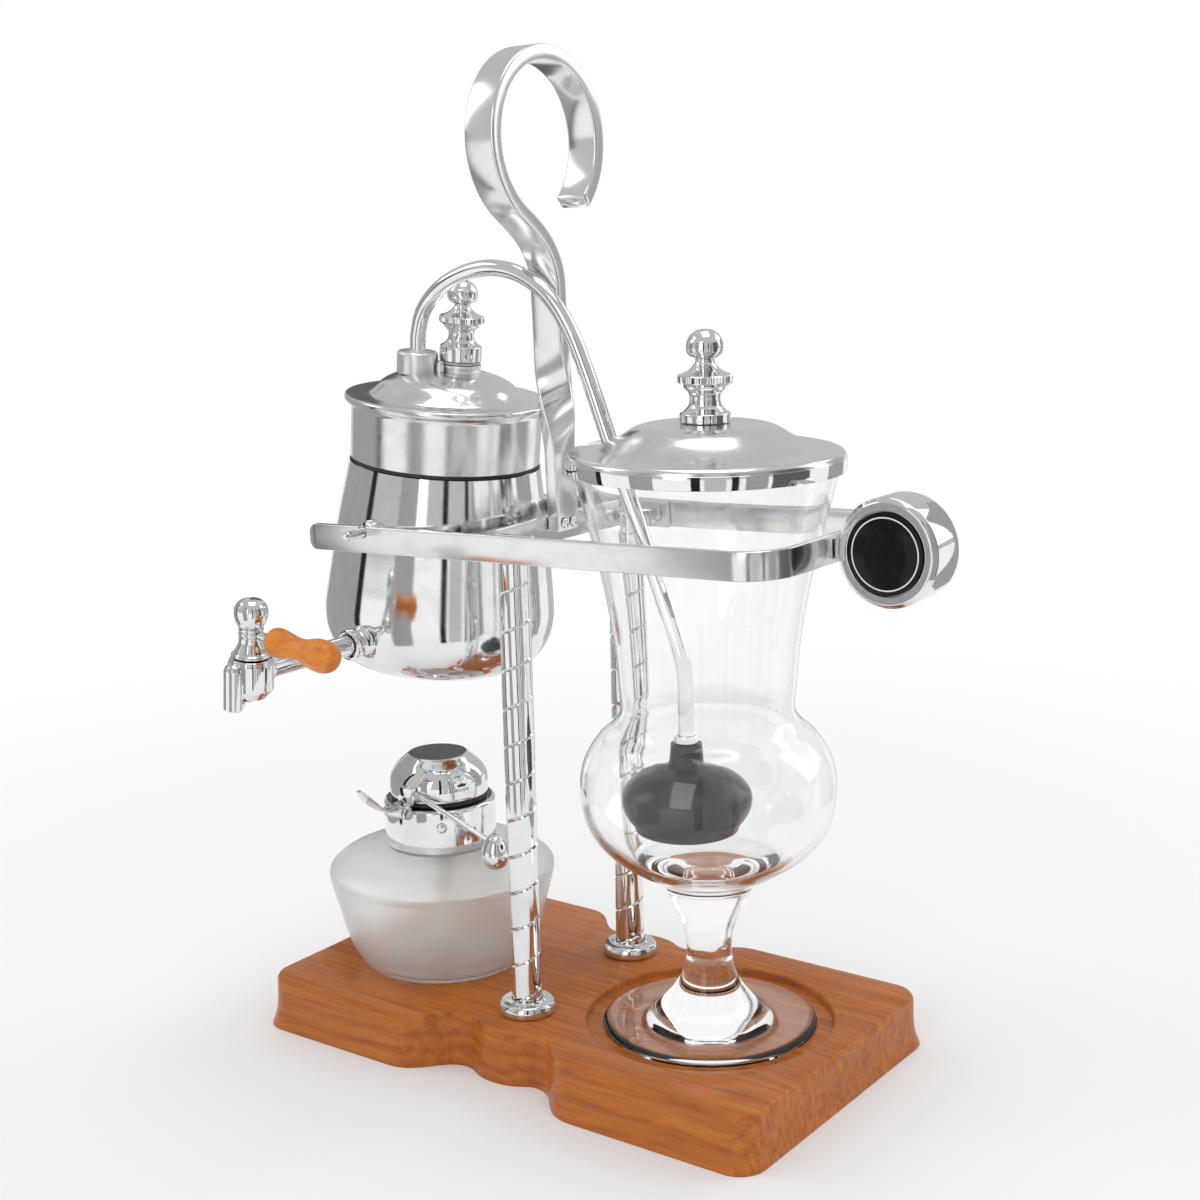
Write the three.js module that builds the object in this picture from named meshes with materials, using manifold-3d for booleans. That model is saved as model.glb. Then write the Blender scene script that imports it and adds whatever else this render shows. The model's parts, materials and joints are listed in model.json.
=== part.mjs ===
// Balancing siphon coffee maker: a wooden board, two columns, a tilting beam that carries the
// boiler on one side and a counterweight on the other, a glass goblet, and a spirit burner.
// Units are millimetres. +X runs from the boiler to the counterweight, +Y away from the tap,
// +Z up, and the origin is the middle of the board's underside.

import * as THREE from "three";
import { mergeVertices } from "three/addons/utils/BufferGeometryUtils.js";
import Module from "manifold-3d";

const wasm = await Module();
wasm.setup();

// Clearances and counts that every piece shares
const gap = 0.3;
const overrun = 4;
const bigSides = 24;
const knobSides = 12;
const smallSides = 8;
const holeSides = 10;
const hexSides = 6;
const curveSteps = 4;
const weld = 1e-4;
const headTaper = 0.78;

// Wooden board
const boardLength = 240;
const boardHeight = 22.4;
const boardHalfWidth = 68.5;
const boardBumpHalfWidth = 57.5;
const boardNotchHalfWidth = 52.5;
const boardCornerRadius = 11;
const boardFlare = 2.2;
const boardLobeReach = 45;
const boardNotchReach = 17.5;
const recessDepth = 3;
const recessMargin = 6.5;

// Columns and the bolts that hold them to the board
const columnX = -4.3;
const columnRadius = 6.05;
const columnHeadRadius = 4.8;
const columnHeadRise = 4;
const columnShaftDrop = 4.5;
const collarRadius = 11.5;
const collarHeight = 5.6;
const boltRadius = 2.9;
const boltHeadRadius = 6.4;
const boltHeadHeight = 4;
const boltGrip = 11;
const washerRadius = 8;
const washerThickness = 1.2;
const counterboreDepth = 7;

// Beam, a flat bar bent to a long U that tilts on pins in the column heads
const pivotRise = 189.1;
const beamTilt = -2.2;
const beamThickness = 3;
const beamHeight = 10.5;
const beamDrop = 2.7;
const beamEndReach = 94;
const beamCrossReach = 122.3;
const beamCornerRadius = 18;
const beamEndRadius = 3.4;
const pivotRadius = 2;
const pivotBite = 1.7;
const yokeThickness = 3;
const yokeColumnClearance = 0.85;
const flangeReach = 16;
const flangeRivetReach = 11;
const rivetRadius = 1.6;
const rivetHeadRadius = 2.8;
const rivetHeadHeight = 1;

// Lifting hook, a flat strap bent to a ring, twisted a quarter turn and riveted to the yoke
const strapWidth = 13.5;
const strapThickness = 5.6;
const strapChamfer = 0.9;
const ringRadius = 31.7;
const ringY = -3.5;
const ringRise = 152;
const stemY = -0.9;
const footY = 1.2;
const stemTopRise = 97.5;
const twistTopRise = 78.5;
const twistEndRise = 31.5;
const footRise = 2;
const ringLean = 0.9;
const strapRivetRise = 5;
const strapRivetReach = 2.8;
const strapRivetRadius = 0.8;
const strapRivetHeadRadius = 2.1;

// Counterweight
const drumRadius = 19.8;
const drumWidth = 19;
const drumChamfer = 1.6;
const drumWall = 4.6;
const discThickness = 1.5;
const discRecess = 1.4;
const lugLength = 2.6;
const lugWidth = 12;
const lugHeight = 8.6;
const weightScrewRadius = 2;
const weightScrewHeadRadius = 4;
const weightScrewHeadHeight = 2.2;
const weightScrewBite = 9;

// Boiler, hung on two pins in the beam's notches
const boilerReach = 65.2;
const boilerPinRise = 5.4;
const boilerLean = 5.5;
const boilerRadius = 47.8;
const boilerDrop = 62;
const seamRise = 23.6;
const boilerWall = 1.2;
const sealThickness = 1.4;
const pinRadius = 1.9;
const frontPinLength = 13.4;
const pinBossRadius = 4.4;
const pinBossLength = 2.7;

// Boiler lid with its domed top
const lidNeckRadius = 38.7;
const lidRimRadius = 41.7;
const lidTopRise = 60.5;
const spigotDepth = 6;
const lidWall = 1.1;

// Filler neck, its cap and the stopper of the siphon tube
const fillerX = 3;
const fillerY = 3.6;
const fillerRadius = 8.5;
const fillerNeckRise = 62.8;
const fillerBore = 5.6;
const fillerWasherThickness = 0.9;
const fillerCapHeight = 28.9;
const fillerFlangeHeight = 3.1;
const fillerStubLength = 9;
const stopperX = -9;
const stopperY = -9;
const stopperRadius = 8.3;
const stopperTopRise = 67.4;
const stopperPlugRadius = 5.6;
const stopperPlugDrop = 8;
const stopperCapHeight = 6.4;
const reliefPinRadius = 1.5;
const reliefPinBite = 3.6;
const reliefPinTopRise = 64.6;
const reliefPinOffset = 5.5;

// Siphon tube, from near the boiler's floor over to the filter in the goblet
const tubeRadius = 3.15;
const tubeBore = 1.95;
const dipClearance = 8;
const tubeSteps = 44;
const tubeHalfSides = 5;
const filterOffset = 4;

// Filter at the lower end of the siphon tube
const filterRise = 103;
const filterRadius = 25.3;
const filterHeadHeight = 34;
const filterNeckBore = 5.5;
const filterPassage = 2.1;
const filterRimRadius = 16.5;
const screenThickness = 1;
const screenRecess = 3;
const ferruleRadius = 4.8;
const ferruleHeight = 3.4;

// Tap on a pipe at the foot of the boiler
const tapAngle = 1.3;
const tapRise = -45.5;
const pipeRadius = 4.1;
const pipeBore = 2.2;
const pipeRootReach = 47.4;
const bossFlareRadius = 7.5;
const bossLength = 3.4;
const pipeNutRadius = 6.3;
const pipeNutLength = 4.2;
const tapReach = 107;
const tapBodyRadius = 8.6;
const tapBodyRise = 6.4;
const tapBodyDrop = 9;
const keyDrop = 7;
const keyBore = 5.2;
const spoutOffset = 8.4;
const spoutRadius = 3.9;
const spoutBore = 2.1;
const spoutDrop = 12.5;
const spoutTopRise = 3.3;
const spoutSlope = 24;
const spoutWebDrop = 10.2;
const tapBallRadius = 6.4;
const tapStemHeight = 22.5;
const tapLeverRise = 15.2;
const tapLeverRadius = 2.1;
const tapLeverLength = 6.4;
const gripLength = 33;
const gripRadius = 6.2;
const gripBite = 6;

// Glass goblet and its metal lid
const gobletOffset = 3.15;
const gobletHeight = 224.7;
const gobletRadius = 50;
const gobletWall = 2.2;
const gobletFootRadius = 43;
const bowlFloorRise = 66.8;
const lidBandWidth = 2.4;
const lidBandHeight = 3.3;
const glassLidRise = 14.5;
const glassLidWall = 1;
const notchWidth = 11;
const notchReach = 27;
const lidKnobHeight = 34;
const lidKnobRadius = 10.3;
const lidStudRadius = 2;
const lidStudLength = 7.5;
const lidNutRadius = 4.6;
const lidNutHeight = 3;

// Spirit burner
const burnerX = -69.9;
const burnerY = -9.6;
const bottleRadius = 47.9;
const bottleHeight = 53.3;
const bottleWall = 2.6;
const bottleNeckRadius = 21.4;
const bottleNeckHeight = 14;
const burnerCollarRadius = 23.6;
const burnerCollarHeight = 18.7;
const burnerCollarWall = 1;
const wickTubeRadius = 4.6;
const wickTubeWall = 0.6;
const wickTubeRise = 8;
const wickTubeDrop = 34;
const wickFlangeRadius = 8.5;
const wickFlangeThickness = 1;
const wickRise = 2.4;
const wickDrop = 66;

// Snuffer cap of the burner, hinged at the front of the collar
const snufferRadius = 20.7;
const snufferHeight = 16.6;
const snufferWall = 0.9;
const snufferSealThickness = 2;
const snufferSealWidth = 3.4;
const hingeX = 0.9;
const knuckleRadius = 2.4;
const knuckleWidth = 8.4;
const hingePinRadius = 1.1;
const hingePinHeadRadius = 2;
const earThickness = 1.5;
const earHeight = 5.4;
const hingeBackThickness = 1.2;
const armPlateThickness = 1.8;
const armPlateHeight = 6.5;
const tabThickness = 1.5;
const tabReach = 21;
const tabRise = 13.5;
const tabWidth = 9.4;
const tabCurlShare = 0.7;
const leverRodRadius = 1.1;
const eggRadius = 6;
const eggHeight = 15;
const eggX = 41.6;
const eggY = -14.4;
const eggRise = 81.8;

// Places worked out from the sizes above
const boardTop = boardHeight;
const pivotHeight = boardTop + pivotRise;
const boilerPinRadius = 0.9 * boilerRadius;
const armInnerY = boilerPinRadius + gap + pinBossLength + gap;
const armOuterY = armInnerY + beamThickness;
const yokeCentreRadius = columnRadius + yokeColumnClearance + yokeThickness / 2;
const flangeY = armInnerY - gap - yokeThickness / 2;
const columnY = flangeY - yokeCentreRadius;
const columnTop = pivotHeight + columnHeadRise;
const beamMidRise = beamHeight / 2 - beamDrop;
const yokeFaceX = -(yokeCentreRadius - yokeThickness / 2);
const strapX = yokeFaceX + gap + strapThickness / 2;
const gobletX = columnX + beamCrossReach / 2 + gobletOffset;
const filterX = gobletX - filterOffset;
const recessRadius = gobletFootRadius + recessMargin;
const recessFloor = boardTop - recessDepth;
const gobletBase = recessFloor + gap;
const gobletTop = gobletBase + gobletHeight;
const glassLidTop = gobletTop + gap + glassLidWall;
const bottleBase = boardTop + gap;
const collarBase = bottleBase + bottleHeight + gap;
const collarTop = collarBase + burnerCollarHeight;
const snufferBase = collarTop + gap + snufferSealThickness + gap;
const spigotRadius = lidNeckRadius - boilerWall - gap - lidWall / 2;
const bodyTopRise = seamRise - sealThickness / 2 - gap;
const lidBaseRise = seamRise + sealThickness / 2 + gap;
const pipeReach = tapReach - tapBodyRadius - 2 * gap;
const hingeY = -(burnerCollarRadius + gap + hingeBackThickness + knuckleRadius + gap);

// Materials
const wood = finish(0xb05a22, 0.32, 0);
const gripWood = finish(0xd98030, 0.45, 0);
const chrome = finish(0xd8dadc, 0.08, 1);
const steel = finish(0xb9bcc0, 0.3, 1);
const clearGlass = finish(0xeef4f4, 0.03, 0);
const frostedGlass = finish(0xc9ccca, 0.6, 0);
const blackGloss = finish(0x101113, 0.12, 0);
const rubber = finish(0x17181a, 0.6, 0);
const darkFilter = finish(0x232427, 0.2, 0);
const cotton = finish(0xe6dfcd, 0.9, 0);

function finish(color, roughness, metalness) {
  return new THREE.MeshStandardMaterial({ color, roughness, metalness });
}

// A closed geometry becomes a solid once its shared corners are merged.
function solid(geometry) {
  const bare = geometry.clone();
  bare.deleteAttribute("normal");
  bare.deleteAttribute("uv");
  const merged = mergeVertices(bare, weld);
  const corners = merged.index.array;
  const faces = [];
  for (let i = 0; i < corners.length; i += 3) {
    const [a, b, c] = [corners[i], corners[i + 1], corners[i + 2]];
    if (a !== b && b !== c && c !== a) {
      faces.push(a, b, c);
    }
  }
  const places = merged.attributes.position;
  const facesOut = enclosedVolume(places, faces) > 0;
  const mesh = new wasm.Mesh({
    numProp: 3,
    vertProperties: new Float32Array(places.array),
    triVerts: new Uint32Array(facesOut ? faces : faces.reverse()),
  });
  mesh.merge();
  return new wasm.Manifold(mesh);
}

// Volume inside a skin of triangles, which is negative where the faces point inward.
function enclosedVolume(places, faces) {
  const corner = (i) => new THREE.Vector3().fromBufferAttribute(places, faces[i]);
  let volume = 0;
  for (let i = 0; i < faces.length; i += 3) {
    volume += corner(i).dot(corner(i + 1).cross(corner(i + 2))) / 6;
  }
  return volume;
}

// A named piece of the object, made from a solid.
function piece(name, body, material) {
  const mesh = body.getMesh();
  const geometry = new THREE.BufferGeometry();
  geometry.setAttribute("position", new THREE.BufferAttribute(mesh.vertProperties, 3));
  geometry.setIndex(new THREE.BufferAttribute(mesh.triVerts, 1));
  geometry.computeVertexNormals();
  const part = new THREE.Mesh(geometry, material);
  part.name = name;
  return part;
}

function add(bodies) {
  return bodies.reduce((whole, next) => whole.add(next));
}

// Turned solid about Z from [radius, height] points. A profile that starts and ends on the
// axis is a full body, and any other one is closed on itself as a ring.
function turned(points, sides = bigSides) {
  const first = points[0];
  const last = points[points.length - 1];
  const onAxis = first[0] === 0 && last[0] === 0;
  const loop = onAxis ? points : [...points, first];
  let area = 0;
  for (let i = 0; i < points.length; i += 1) {
    const next = points[(i + 1) % points.length];
    area += points[i][0] * next[1] - next[0] * points[i][1];
  }
  const ordered = area < 0 ? [...loop].reverse() : loop;
  const profile = ordered.map(([radius, height]) => new THREE.Vector2(radius, height));
  const geometry = new THREE.LatheGeometry(profile, sides);
  geometry.rotateX(Math.PI / 2);
  return solid(geometry);
}

// Points of a profile from shares of a radius and a height, standing on a base height.
function profileOf(shares, radius, height, base = 0) {
  return shares.map(([across, up]) => [across * radius, base + up * height]);
}

// The inside line of a turned wall: each point moved inward by the wall's thickness.
function insideLine(points, wall) {
  return points.map((point, i) => {
    const before = points[Math.max(i - 1, 0)];
    const after = points[Math.min(i + 1, points.length - 1)];
    const dx = after[0] - before[0];
    const dy = after[1] - before[1];
    const length = Math.hypot(dx, dy);
    const radius = point[0] === 0 ? 0 : Math.max(point[0] - (wall * dy) / length, 0);
    return [radius, point[1] + (wall * dx) / length];
  });
}

// Ring with square edges, from one radius to another and one height to another.
function ring(inner, outer, low, high, sides = bigSides) {
  return turned([[inner, low], [outer, low], [outer, high], [inner, high]], sides);
}

// Round bar from one point to another.
function bar(from, to, radius, sides = smallSides, endRadius = radius) {
  const axis = new THREE.Vector3().subVectors(to, from);
  const geometry = new THREE.CylinderGeometry(endRadius, radius, axis.length(), sides);
  const turn = new THREE.Quaternion().setFromUnitVectors(point(0, 1, 0), axis.clone().normalize());
  geometry.applyQuaternion(turn);
  const middle = new THREE.Vector3().addVectors(from, to).multiplyScalar(0.5);
  geometry.translate(middle.x, middle.y, middle.z);
  return solid(geometry);
}

function point(x, y, z) {
  return new THREE.Vector3(x, y, z);
}

// Box between two corners.
function block(low, high) {
  const size = new THREE.Vector3().subVectors(high, low);
  const geometry = new THREE.BoxGeometry(size.x, size.y, size.z);
  const middle = new THREE.Vector3().addVectors(low, high).multiplyScalar(0.5);
  geometry.translate(middle.x, middle.y, middle.z);
  return solid(geometry);
}

// Flat outline in XY made thick along Z, from a low height to a high one.
function plate(shape, low, high) {
  const geometry = new THREE.ExtrudeGeometry(shape, {
    depth: high - low,
    bevelEnabled: false,
    curveSegments: curveSteps,
  });
  geometry.translate(0, 0, low);
  return solid(geometry);
}

// Outline drawn in XZ and made thick along Y, from a near place to a far one.
function sidePlate(shape, near, far) {
  const geometry = new THREE.ExtrudeGeometry(shape, {
    depth: far - near,
    bevelEnabled: false,
    curveSegments: curveSteps,
  });
  geometry.rotateX(Math.PI / 2);
  geometry.translate(0, far, 0);
  return solid(geometry);
}

// Skin over rings of equal count, with flat ends fanned from their middles.
function loft(rings) {
  const count = rings[0].length;
  const places = rings.flat();
  const faces = [];
  for (let i = 0; i + 1 < rings.length; i += 1) {
    for (let j = 0; j < count; j += 1) {
      const a = i * count + j;
      const b = i * count + ((j + 1) % count);
      faces.push(a, b, b + count, a, b + count, a + count);
    }
  }
  const ends = [[rings[0], 0, true], [rings[rings.length - 1], (rings.length - 1) * count, false]];
  for (const [end, start, flip] of ends) {
    const middle = end.reduce((sum, place) => sum.add(place), point(0, 0, 0)).divideScalar(count);
    const centre = places.push(middle) - 1;
    for (let j = 0; j < count; j += 1) {
      const a = start + j;
      const b = start + ((j + 1) % count);
      faces.push(...(flip ? [centre, b, a] : [centre, a, b]));
    }
  }
  const geometry = new THREE.BufferGeometry();
  const values = places.flatMap((place) => [place.x, place.y, place.z]);
  geometry.setAttribute("position", new THREE.Float32BufferAttribute(values, 3));
  geometry.setIndex(faces);
  return solid(geometry);
}

// Wooden board

// Flare of the side wall: share of the height, then share of the flare.
const boardEdgeShares = [[0, 1], [0.14, 0.66], [0.36, 0.2], [0.93, 0], [1, -0.55]];
const cornerShare = 0.5523;
const lobeHandleShare = 0.55;
const notchHandleShare = 0.42;
const bumpHandleShare = 0.6;

function boardOutline() {
  const half = boardLength / 2;
  const left = columnX - boardLobeReach;
  const right = columnX + boardLobeReach;
  const notchLeft = columnX - boardNotchReach;
  const notchRight = columnX + boardNotchReach;
  const lobe = (boardLobeReach - boardNotchReach) * lobeHandleShare;
  const notch = (boardLobeReach - boardNotchReach) * notchHandleShare;
  const bump = boardNotchReach * bumpHandleShare;
  const shape = new THREE.Shape();
  shape.moveTo(-half + boardCornerRadius, -boardHalfWidth);
  for (const side of [-1, 1]) {
    const wide = side * boardHalfWidth;
    const narrow = side * boardNotchHalfWidth;
    const crest = side * boardBumpHalfWidth;
    const [start, first, last, end] = side < 0
      ? [left, notchLeft, notchRight, right] : [right, notchRight, notchLeft, left];
    const ahead = Math.sign(end - start);
    shape.lineTo(start, wide);
    shape.bezierCurveTo(start + ahead * lobe, wide, first - ahead * notch, narrow, first, narrow);
    shape.bezierCurveTo(
      first + ahead * notch / 2, narrow, columnX - ahead * bump, crest, columnX, crest);
    shape.bezierCurveTo(
      columnX + ahead * bump, crest, last - ahead * notch / 2, narrow, last, narrow);
    shape.bezierCurveTo(last + ahead * notch, narrow, end - ahead * lobe, wide, end, wide);
    const nearEnd = ahead * (half - boardCornerRadius);
    const handle = boardCornerRadius * cornerShare;
    const flank = side * (boardHalfWidth - boardCornerRadius);
    shape.lineTo(nearEnd, wide);
    shape.bezierCurveTo(
      nearEnd + ahead * handle, wide, ahead * half, flank + side * handle, ahead * half, flank);
    shape.lineTo(ahead * half, -flank);
    shape.bezierCurveTo(
      ahead * half, -flank - side * handle, nearEnd + ahead * handle, -wide, nearEnd, -wide);
  }
  return shape;
}

function makeBoard() {
  const levels = boardEdgeShares.length - 1;
  const geometry = new THREE.ExtrudeGeometry(boardOutline(), {
    depth: levels,
    steps: levels,
    bevelEnabled: false,
    curveSegments: curveSteps,
  });
  const places = geometry.attributes.position;
  for (let i = 0; i < places.count; i += 1) {
    const [rise, flare] = boardEdgeShares[Math.round(places.getZ(i))];
    places.setX(i, places.getX(i) * (1 + (flare * boardFlare) / (boardLength / 2)));
    places.setY(i, places.getY(i) * (1 + (flare * boardFlare) / boardHalfWidth));
    places.setZ(i, rise * boardHeight);
  }
  let body = solid(geometry);
  const recess = turned([[0, recessFloor], [recessRadius, recessFloor],
    [recessRadius, boardTop + overrun], [0, boardTop + overrun]], bigSides);
  body = body.subtract(recess.translate([gobletX, 0, 0]));
  for (const side of [-1, 1]) {
    const counterbore = bar(point(columnX, side * columnY, -overrun),
      point(columnX, side * columnY, counterboreDepth), washerRadius + gap, knobSides);
    const hole = bar(point(columnX, side * columnY, 0),
      point(columnX, side * columnY, boardTop + overrun), boltRadius + gap, holeSides);
    body = body.subtract(counterbore).subtract(hole);
  }
  return piece("base_board", body, wood);
}

// Columns, collars, bolts and washers

function makeColumn(name, y) {
  const foot = boardTop + gap;
  const shaftTop = pivotHeight - columnShaftDrop;
  const neckFillet = columnRadius - columnHeadRadius;
  let body = turned([
    [0, foot], [columnRadius, foot], [columnRadius, shaftTop - neckFillet],
    [columnHeadRadius, shaftTop], [columnHeadRadius, columnTop - neckFillet],
    [columnHeadRadius - neckFillet, columnTop], [0, columnTop],
  ], knobSides);
  body = body.subtract(bar(point(0, 0, foot - overrun),
    point(0, 0, foot + boltGrip + gap), boltRadius + gap, holeSides));
  body = body.subtract(bar(point(0, -columnRadius - overrun, pivotHeight),
    point(0, columnRadius + overrun, pivotHeight), pivotRadius + gap, holeSides));
  const column = piece(name, body, chrome);
  column.position.set(columnX, y, 0);
  return column;
}

// Round-shouldered ring: share of the wall from bore to rim, then share of the height.
const collarShares = [[0, 0], [0.84, 0], [1, 0.22], [1, 0.55], [0.8, 0.82], [0.36, 0.92],
  [0.22, 1], [0, 1]];

function makeCollar(name, y) {
  const bore = columnRadius + gap;
  const wall = collarRadius - bore;
  const base = boardTop + gap;
  const points = collarShares.map(([across, up]) => [bore + across * wall, base + up * collarHeight]);
  const collar = piece(name, turned(points, knobSides), chrome);
  collar.position.set(columnX, y, 0);
  return collar;
}

function makeBolt(name, y) {
  const washerLow = counterboreDepth - gap - washerThickness;
  const headTop = washerLow - gap;
  const headLow = headTop - boltHeadHeight;
  const head = bar(point(0, 0, headLow), point(0, 0, headTop), boltHeadRadius, hexSides);
  const shank = bar(point(0, 0, headLow + boltHeadHeight / 2),
    point(0, 0, boardTop + boltGrip), boltRadius, smallSides);
  const bolt = piece(name, head.add(shank), steel);
  bolt.position.set(columnX, y, 0);
  return bolt;
}

function makeWasher(name, y) {
  const high = counterboreDepth - gap;
  const washer = piece(name,
    ring(boltRadius + gap, washerRadius, high - washerThickness, high, knobSides), steel);
  washer.position.set(columnX, y, 0);
  return washer;
}

// Beam pieces, in the beam's own frame with the pivot at its origin

function beamPlan() {
  const inner = beamCornerRadius - beamThickness;
  const face = beamCrossReach - beamThickness;
  const shape = new THREE.Shape();
  shape.moveTo(-beamEndReach, -armOuterY);
  shape.lineTo(beamCrossReach - beamCornerRadius, -armOuterY);
  shape.absarc(beamCrossReach - beamCornerRadius, -armOuterY + beamCornerRadius,
    beamCornerRadius, -Math.PI / 2, 0, false);
  shape.lineTo(beamCrossReach, armOuterY - beamCornerRadius);
  shape.absarc(beamCrossReach - beamCornerRadius, armOuterY - beamCornerRadius,
    beamCornerRadius, 0, Math.PI / 2, false);
  shape.lineTo(-beamEndReach, armOuterY);
  shape.lineTo(-beamEndReach, armInnerY);
  shape.lineTo(face - inner, armInnerY);
  shape.absarc(face - inner, armInnerY - inner, inner, Math.PI / 2, 0, true);
  shape.lineTo(face, -armInnerY + inner);
  shape.absarc(face - inner, -armInnerY + inner, inner, 0, -Math.PI / 2, true);
  shape.lineTo(-beamEndReach, -armInnerY);
  return shape;
}

// Side view of the beam: rounded ends, and a round-bottomed notch for the boiler's pin.
function beamSide() {
  const low = -beamDrop;
  const high = beamHeight - beamDrop;
  const slot = pinRadius + gap;
  const shape = new THREE.Shape();
  shape.moveTo(beamCrossReach + overrun, low);
  shape.lineTo(beamCrossReach + overrun, high);
  shape.lineTo(-boilerReach + slot, high);
  shape.lineTo(-boilerReach + slot, boilerPinRise);
  shape.absarc(-boilerReach, boilerPinRise, slot, 0, -Math.PI, true);
  shape.lineTo(-boilerReach - slot, high);
  shape.lineTo(-beamEndReach + beamEndRadius, high);
  shape.absarc(-beamEndReach + beamEndRadius, high - beamEndRadius,
    beamEndRadius, Math.PI / 2, Math.PI, false);
  shape.absarc(-beamEndReach + beamEndRadius, low + beamEndRadius,
    beamEndRadius, Math.PI, Math.PI * 1.5, false);
  return shape;
}

function makeBeam() {
  const low = -beamDrop - overrun;
  const high = beamHeight - beamDrop + overrun;
  let body = plate(beamPlan(), low, high);
  body = body.intersect(sidePlate(beamSide(), -armOuterY - overrun, armOuterY + overrun));
  for (const side of [-1, 1]) {
    body = body.subtract(bar(point(0, side * (armInnerY - overrun), 0),
      point(0, side * (armInnerY + pivotBite + gap), 0), pivotRadius + gap, holeSides));
    body = body.subtract(bar(point(flangeRivetReach, side * (armInnerY - overrun), beamMidRise),
      point(flangeRivetReach, side * (armInnerY + pivotBite + gap), beamMidRise),
      rivetRadius + gap, smallSides));
  }
  body = body.subtract(bar(point(beamCrossReach - beamThickness - overrun, 0, beamMidRise),
    point(beamCrossReach + overrun, 0, beamMidRise), weightScrewRadius + gap, smallSides));
  return piece("beam_frame", body, chrome);
}

function yokePlan() {
  const outer = yokeCentreRadius + yokeThickness / 2;
  const inner = yokeCentreRadius - yokeThickness / 2;
  const outerFlange = flangeY + yokeThickness / 2;
  const innerFlange = flangeY - yokeThickness / 2;
  const shape = new THREE.Shape();
  shape.moveTo(flangeReach, -outerFlange);
  shape.lineTo(flangeReach, -innerFlange);
  shape.lineTo(0, -innerFlange);
  shape.absarc(0, -columnY, inner, -Math.PI / 2, -Math.PI, true);
  shape.lineTo(-inner, columnY);
  shape.absarc(0, columnY, inner, Math.PI, Math.PI / 2, true);
  shape.lineTo(flangeReach, innerFlange);
  shape.lineTo(flangeReach, outerFlange);
  shape.lineTo(0, outerFlange);
  shape.absarc(0, columnY, outer, Math.PI / 2, Math.PI, false);
  shape.lineTo(-outer, -columnY);
  shape.absarc(0, -columnY, outer, Math.PI, Math.PI * 1.5, false);
  return shape;
}

function makeYoke() {
  let body = plate(yokePlan(), -beamDrop, beamHeight - beamDrop);
  for (const side of [-1, 1]) {
    body = body.subtract(bar(point(0, side * (flangeY - yokeThickness), 0),
      point(0, side * (flangeY + yokeThickness), 0), pivotRadius + gap, holeSides));
    body = body.subtract(bar(point(flangeRivetReach, side * (flangeY - yokeThickness), beamMidRise),
      point(flangeRivetReach, side * (flangeY + yokeThickness), beamMidRise),
      rivetRadius + gap, smallSides));
    body = body.subtract(bar(
      point(yokeFaceX - yokeThickness - overrun, footY + side * strapRivetReach, strapRivetRise),
      point(yokeFaceX + overrun, footY + side * strapRivetReach, strapRivetRise),
      strapRivetRadius + gap, smallSides));
  }
  return piece("yoke_bar", body, chrome);
}

function makePivotPin(name, side) {
  const inner = columnY - columnHeadRadius;
  return piece(name, bar(point(0, side * inner, 0),
    point(0, side * (armInnerY + pivotBite), 0), pivotRadius, smallSides), steel);
}

function makeYokeRivet(name, side) {
  const face = flangeY - yokeThickness / 2 - gap;
  const shank = bar(point(flangeRivetReach, side * (face - rivetHeadHeight / 2), beamMidRise),
    point(flangeRivetReach, side * (armInnerY + pivotBite), beamMidRise), rivetRadius, smallSides);
  const head = bar(point(flangeRivetReach, side * face, beamMidRise),
    point(flangeRivetReach, side * (face - rivetHeadHeight), beamMidRise),
    rivetHeadRadius, smallSides, rivetHeadRadius * headTaper);
  return piece(name, shank.add(head), steel);
}

// Centre line of the strap from its foot to the tip of the ring, as stations that hold a
// place, the direction of travel and the turn of the flat section about it.
const ringEndTurn = 235;
const ringTipTurn = -47;
const ringStations = 24;
const bendStations = 8;
const twistStations = 9;
const bendHandleShare = 0.5;
const bendStartShare = 0.7;

function strapStations() {
  const stations = [];
  const down = point(0, 0, 1);
  const leanAt = (rise) => strapX + (ringLean * (rise - footRise)) / (ringRise - footRise);
  stations.push([point(strapX, footY, footRise), down, 1]);
  for (let i = 0; i <= twistStations; i += 1) {
    const t = i / twistStations;
    const smooth = THREE.MathUtils.smoothstep(t, 0, 1);
    const rise = twistEndRise + t * (twistTopRise - twistEndRise);
    const y = footY + smooth * (stemY - footY);
    stations.push([point(leanAt(rise), y, rise), down, 1 - smooth]);
  }
  const end = THREE.MathUtils.degToRad(ringEndTurn);
  const ringPlace = (turn) => [
    ringY + ringRadius * Math.cos(turn), ringRise + ringRadius * Math.sin(turn)];
  const [endY, endRise] = ringPlace(end);
  const reach = stemY - endY;
  const bend = new THREE.CubicBezierCurve3(
    point(0, stemY, stemTopRise),
    point(0, stemY, stemTopRise + reach * bendStartShare),
    point(0, endY - Math.sin(end) * reach * bendHandleShare,
      endRise + Math.cos(end) * reach * bendHandleShare),
    point(0, endY, endRise));
  for (let i = 0; i <= bendStations; i += 1) {
    const place = bend.getPoint(i / bendStations);
    stations.push([point(leanAt(place.z), place.y, place.z), bend.getTangent(i / bendStations), 0]);
  }
  const tip = THREE.MathUtils.degToRad(ringTipTurn);
  for (let i = 1; i <= ringStations; i += 1) {
    const turn = end + (i / ringStations) * (tip - end);
    const [y, rise] = ringPlace(turn);
    stations.push([point(leanAt(rise), y, rise),
      point(0, Math.sin(turn), -Math.cos(turn)), 0]);
  }
  return stations;
}

// Corners of the strap's section as shares of its half width and half thickness.
function strapSection(trim) {
  const half = strapWidth / 2 - trim;
  const thick = strapThickness / 2;
  const cut = strapChamfer;
  return [[half - cut, thick], [half, thick - cut], [half, cut - thick], [half - cut, -thick],
    [cut - half, -thick], [-half, cut - thick], [-half, thick - cut], [cut - half, thick]];
}

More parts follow.
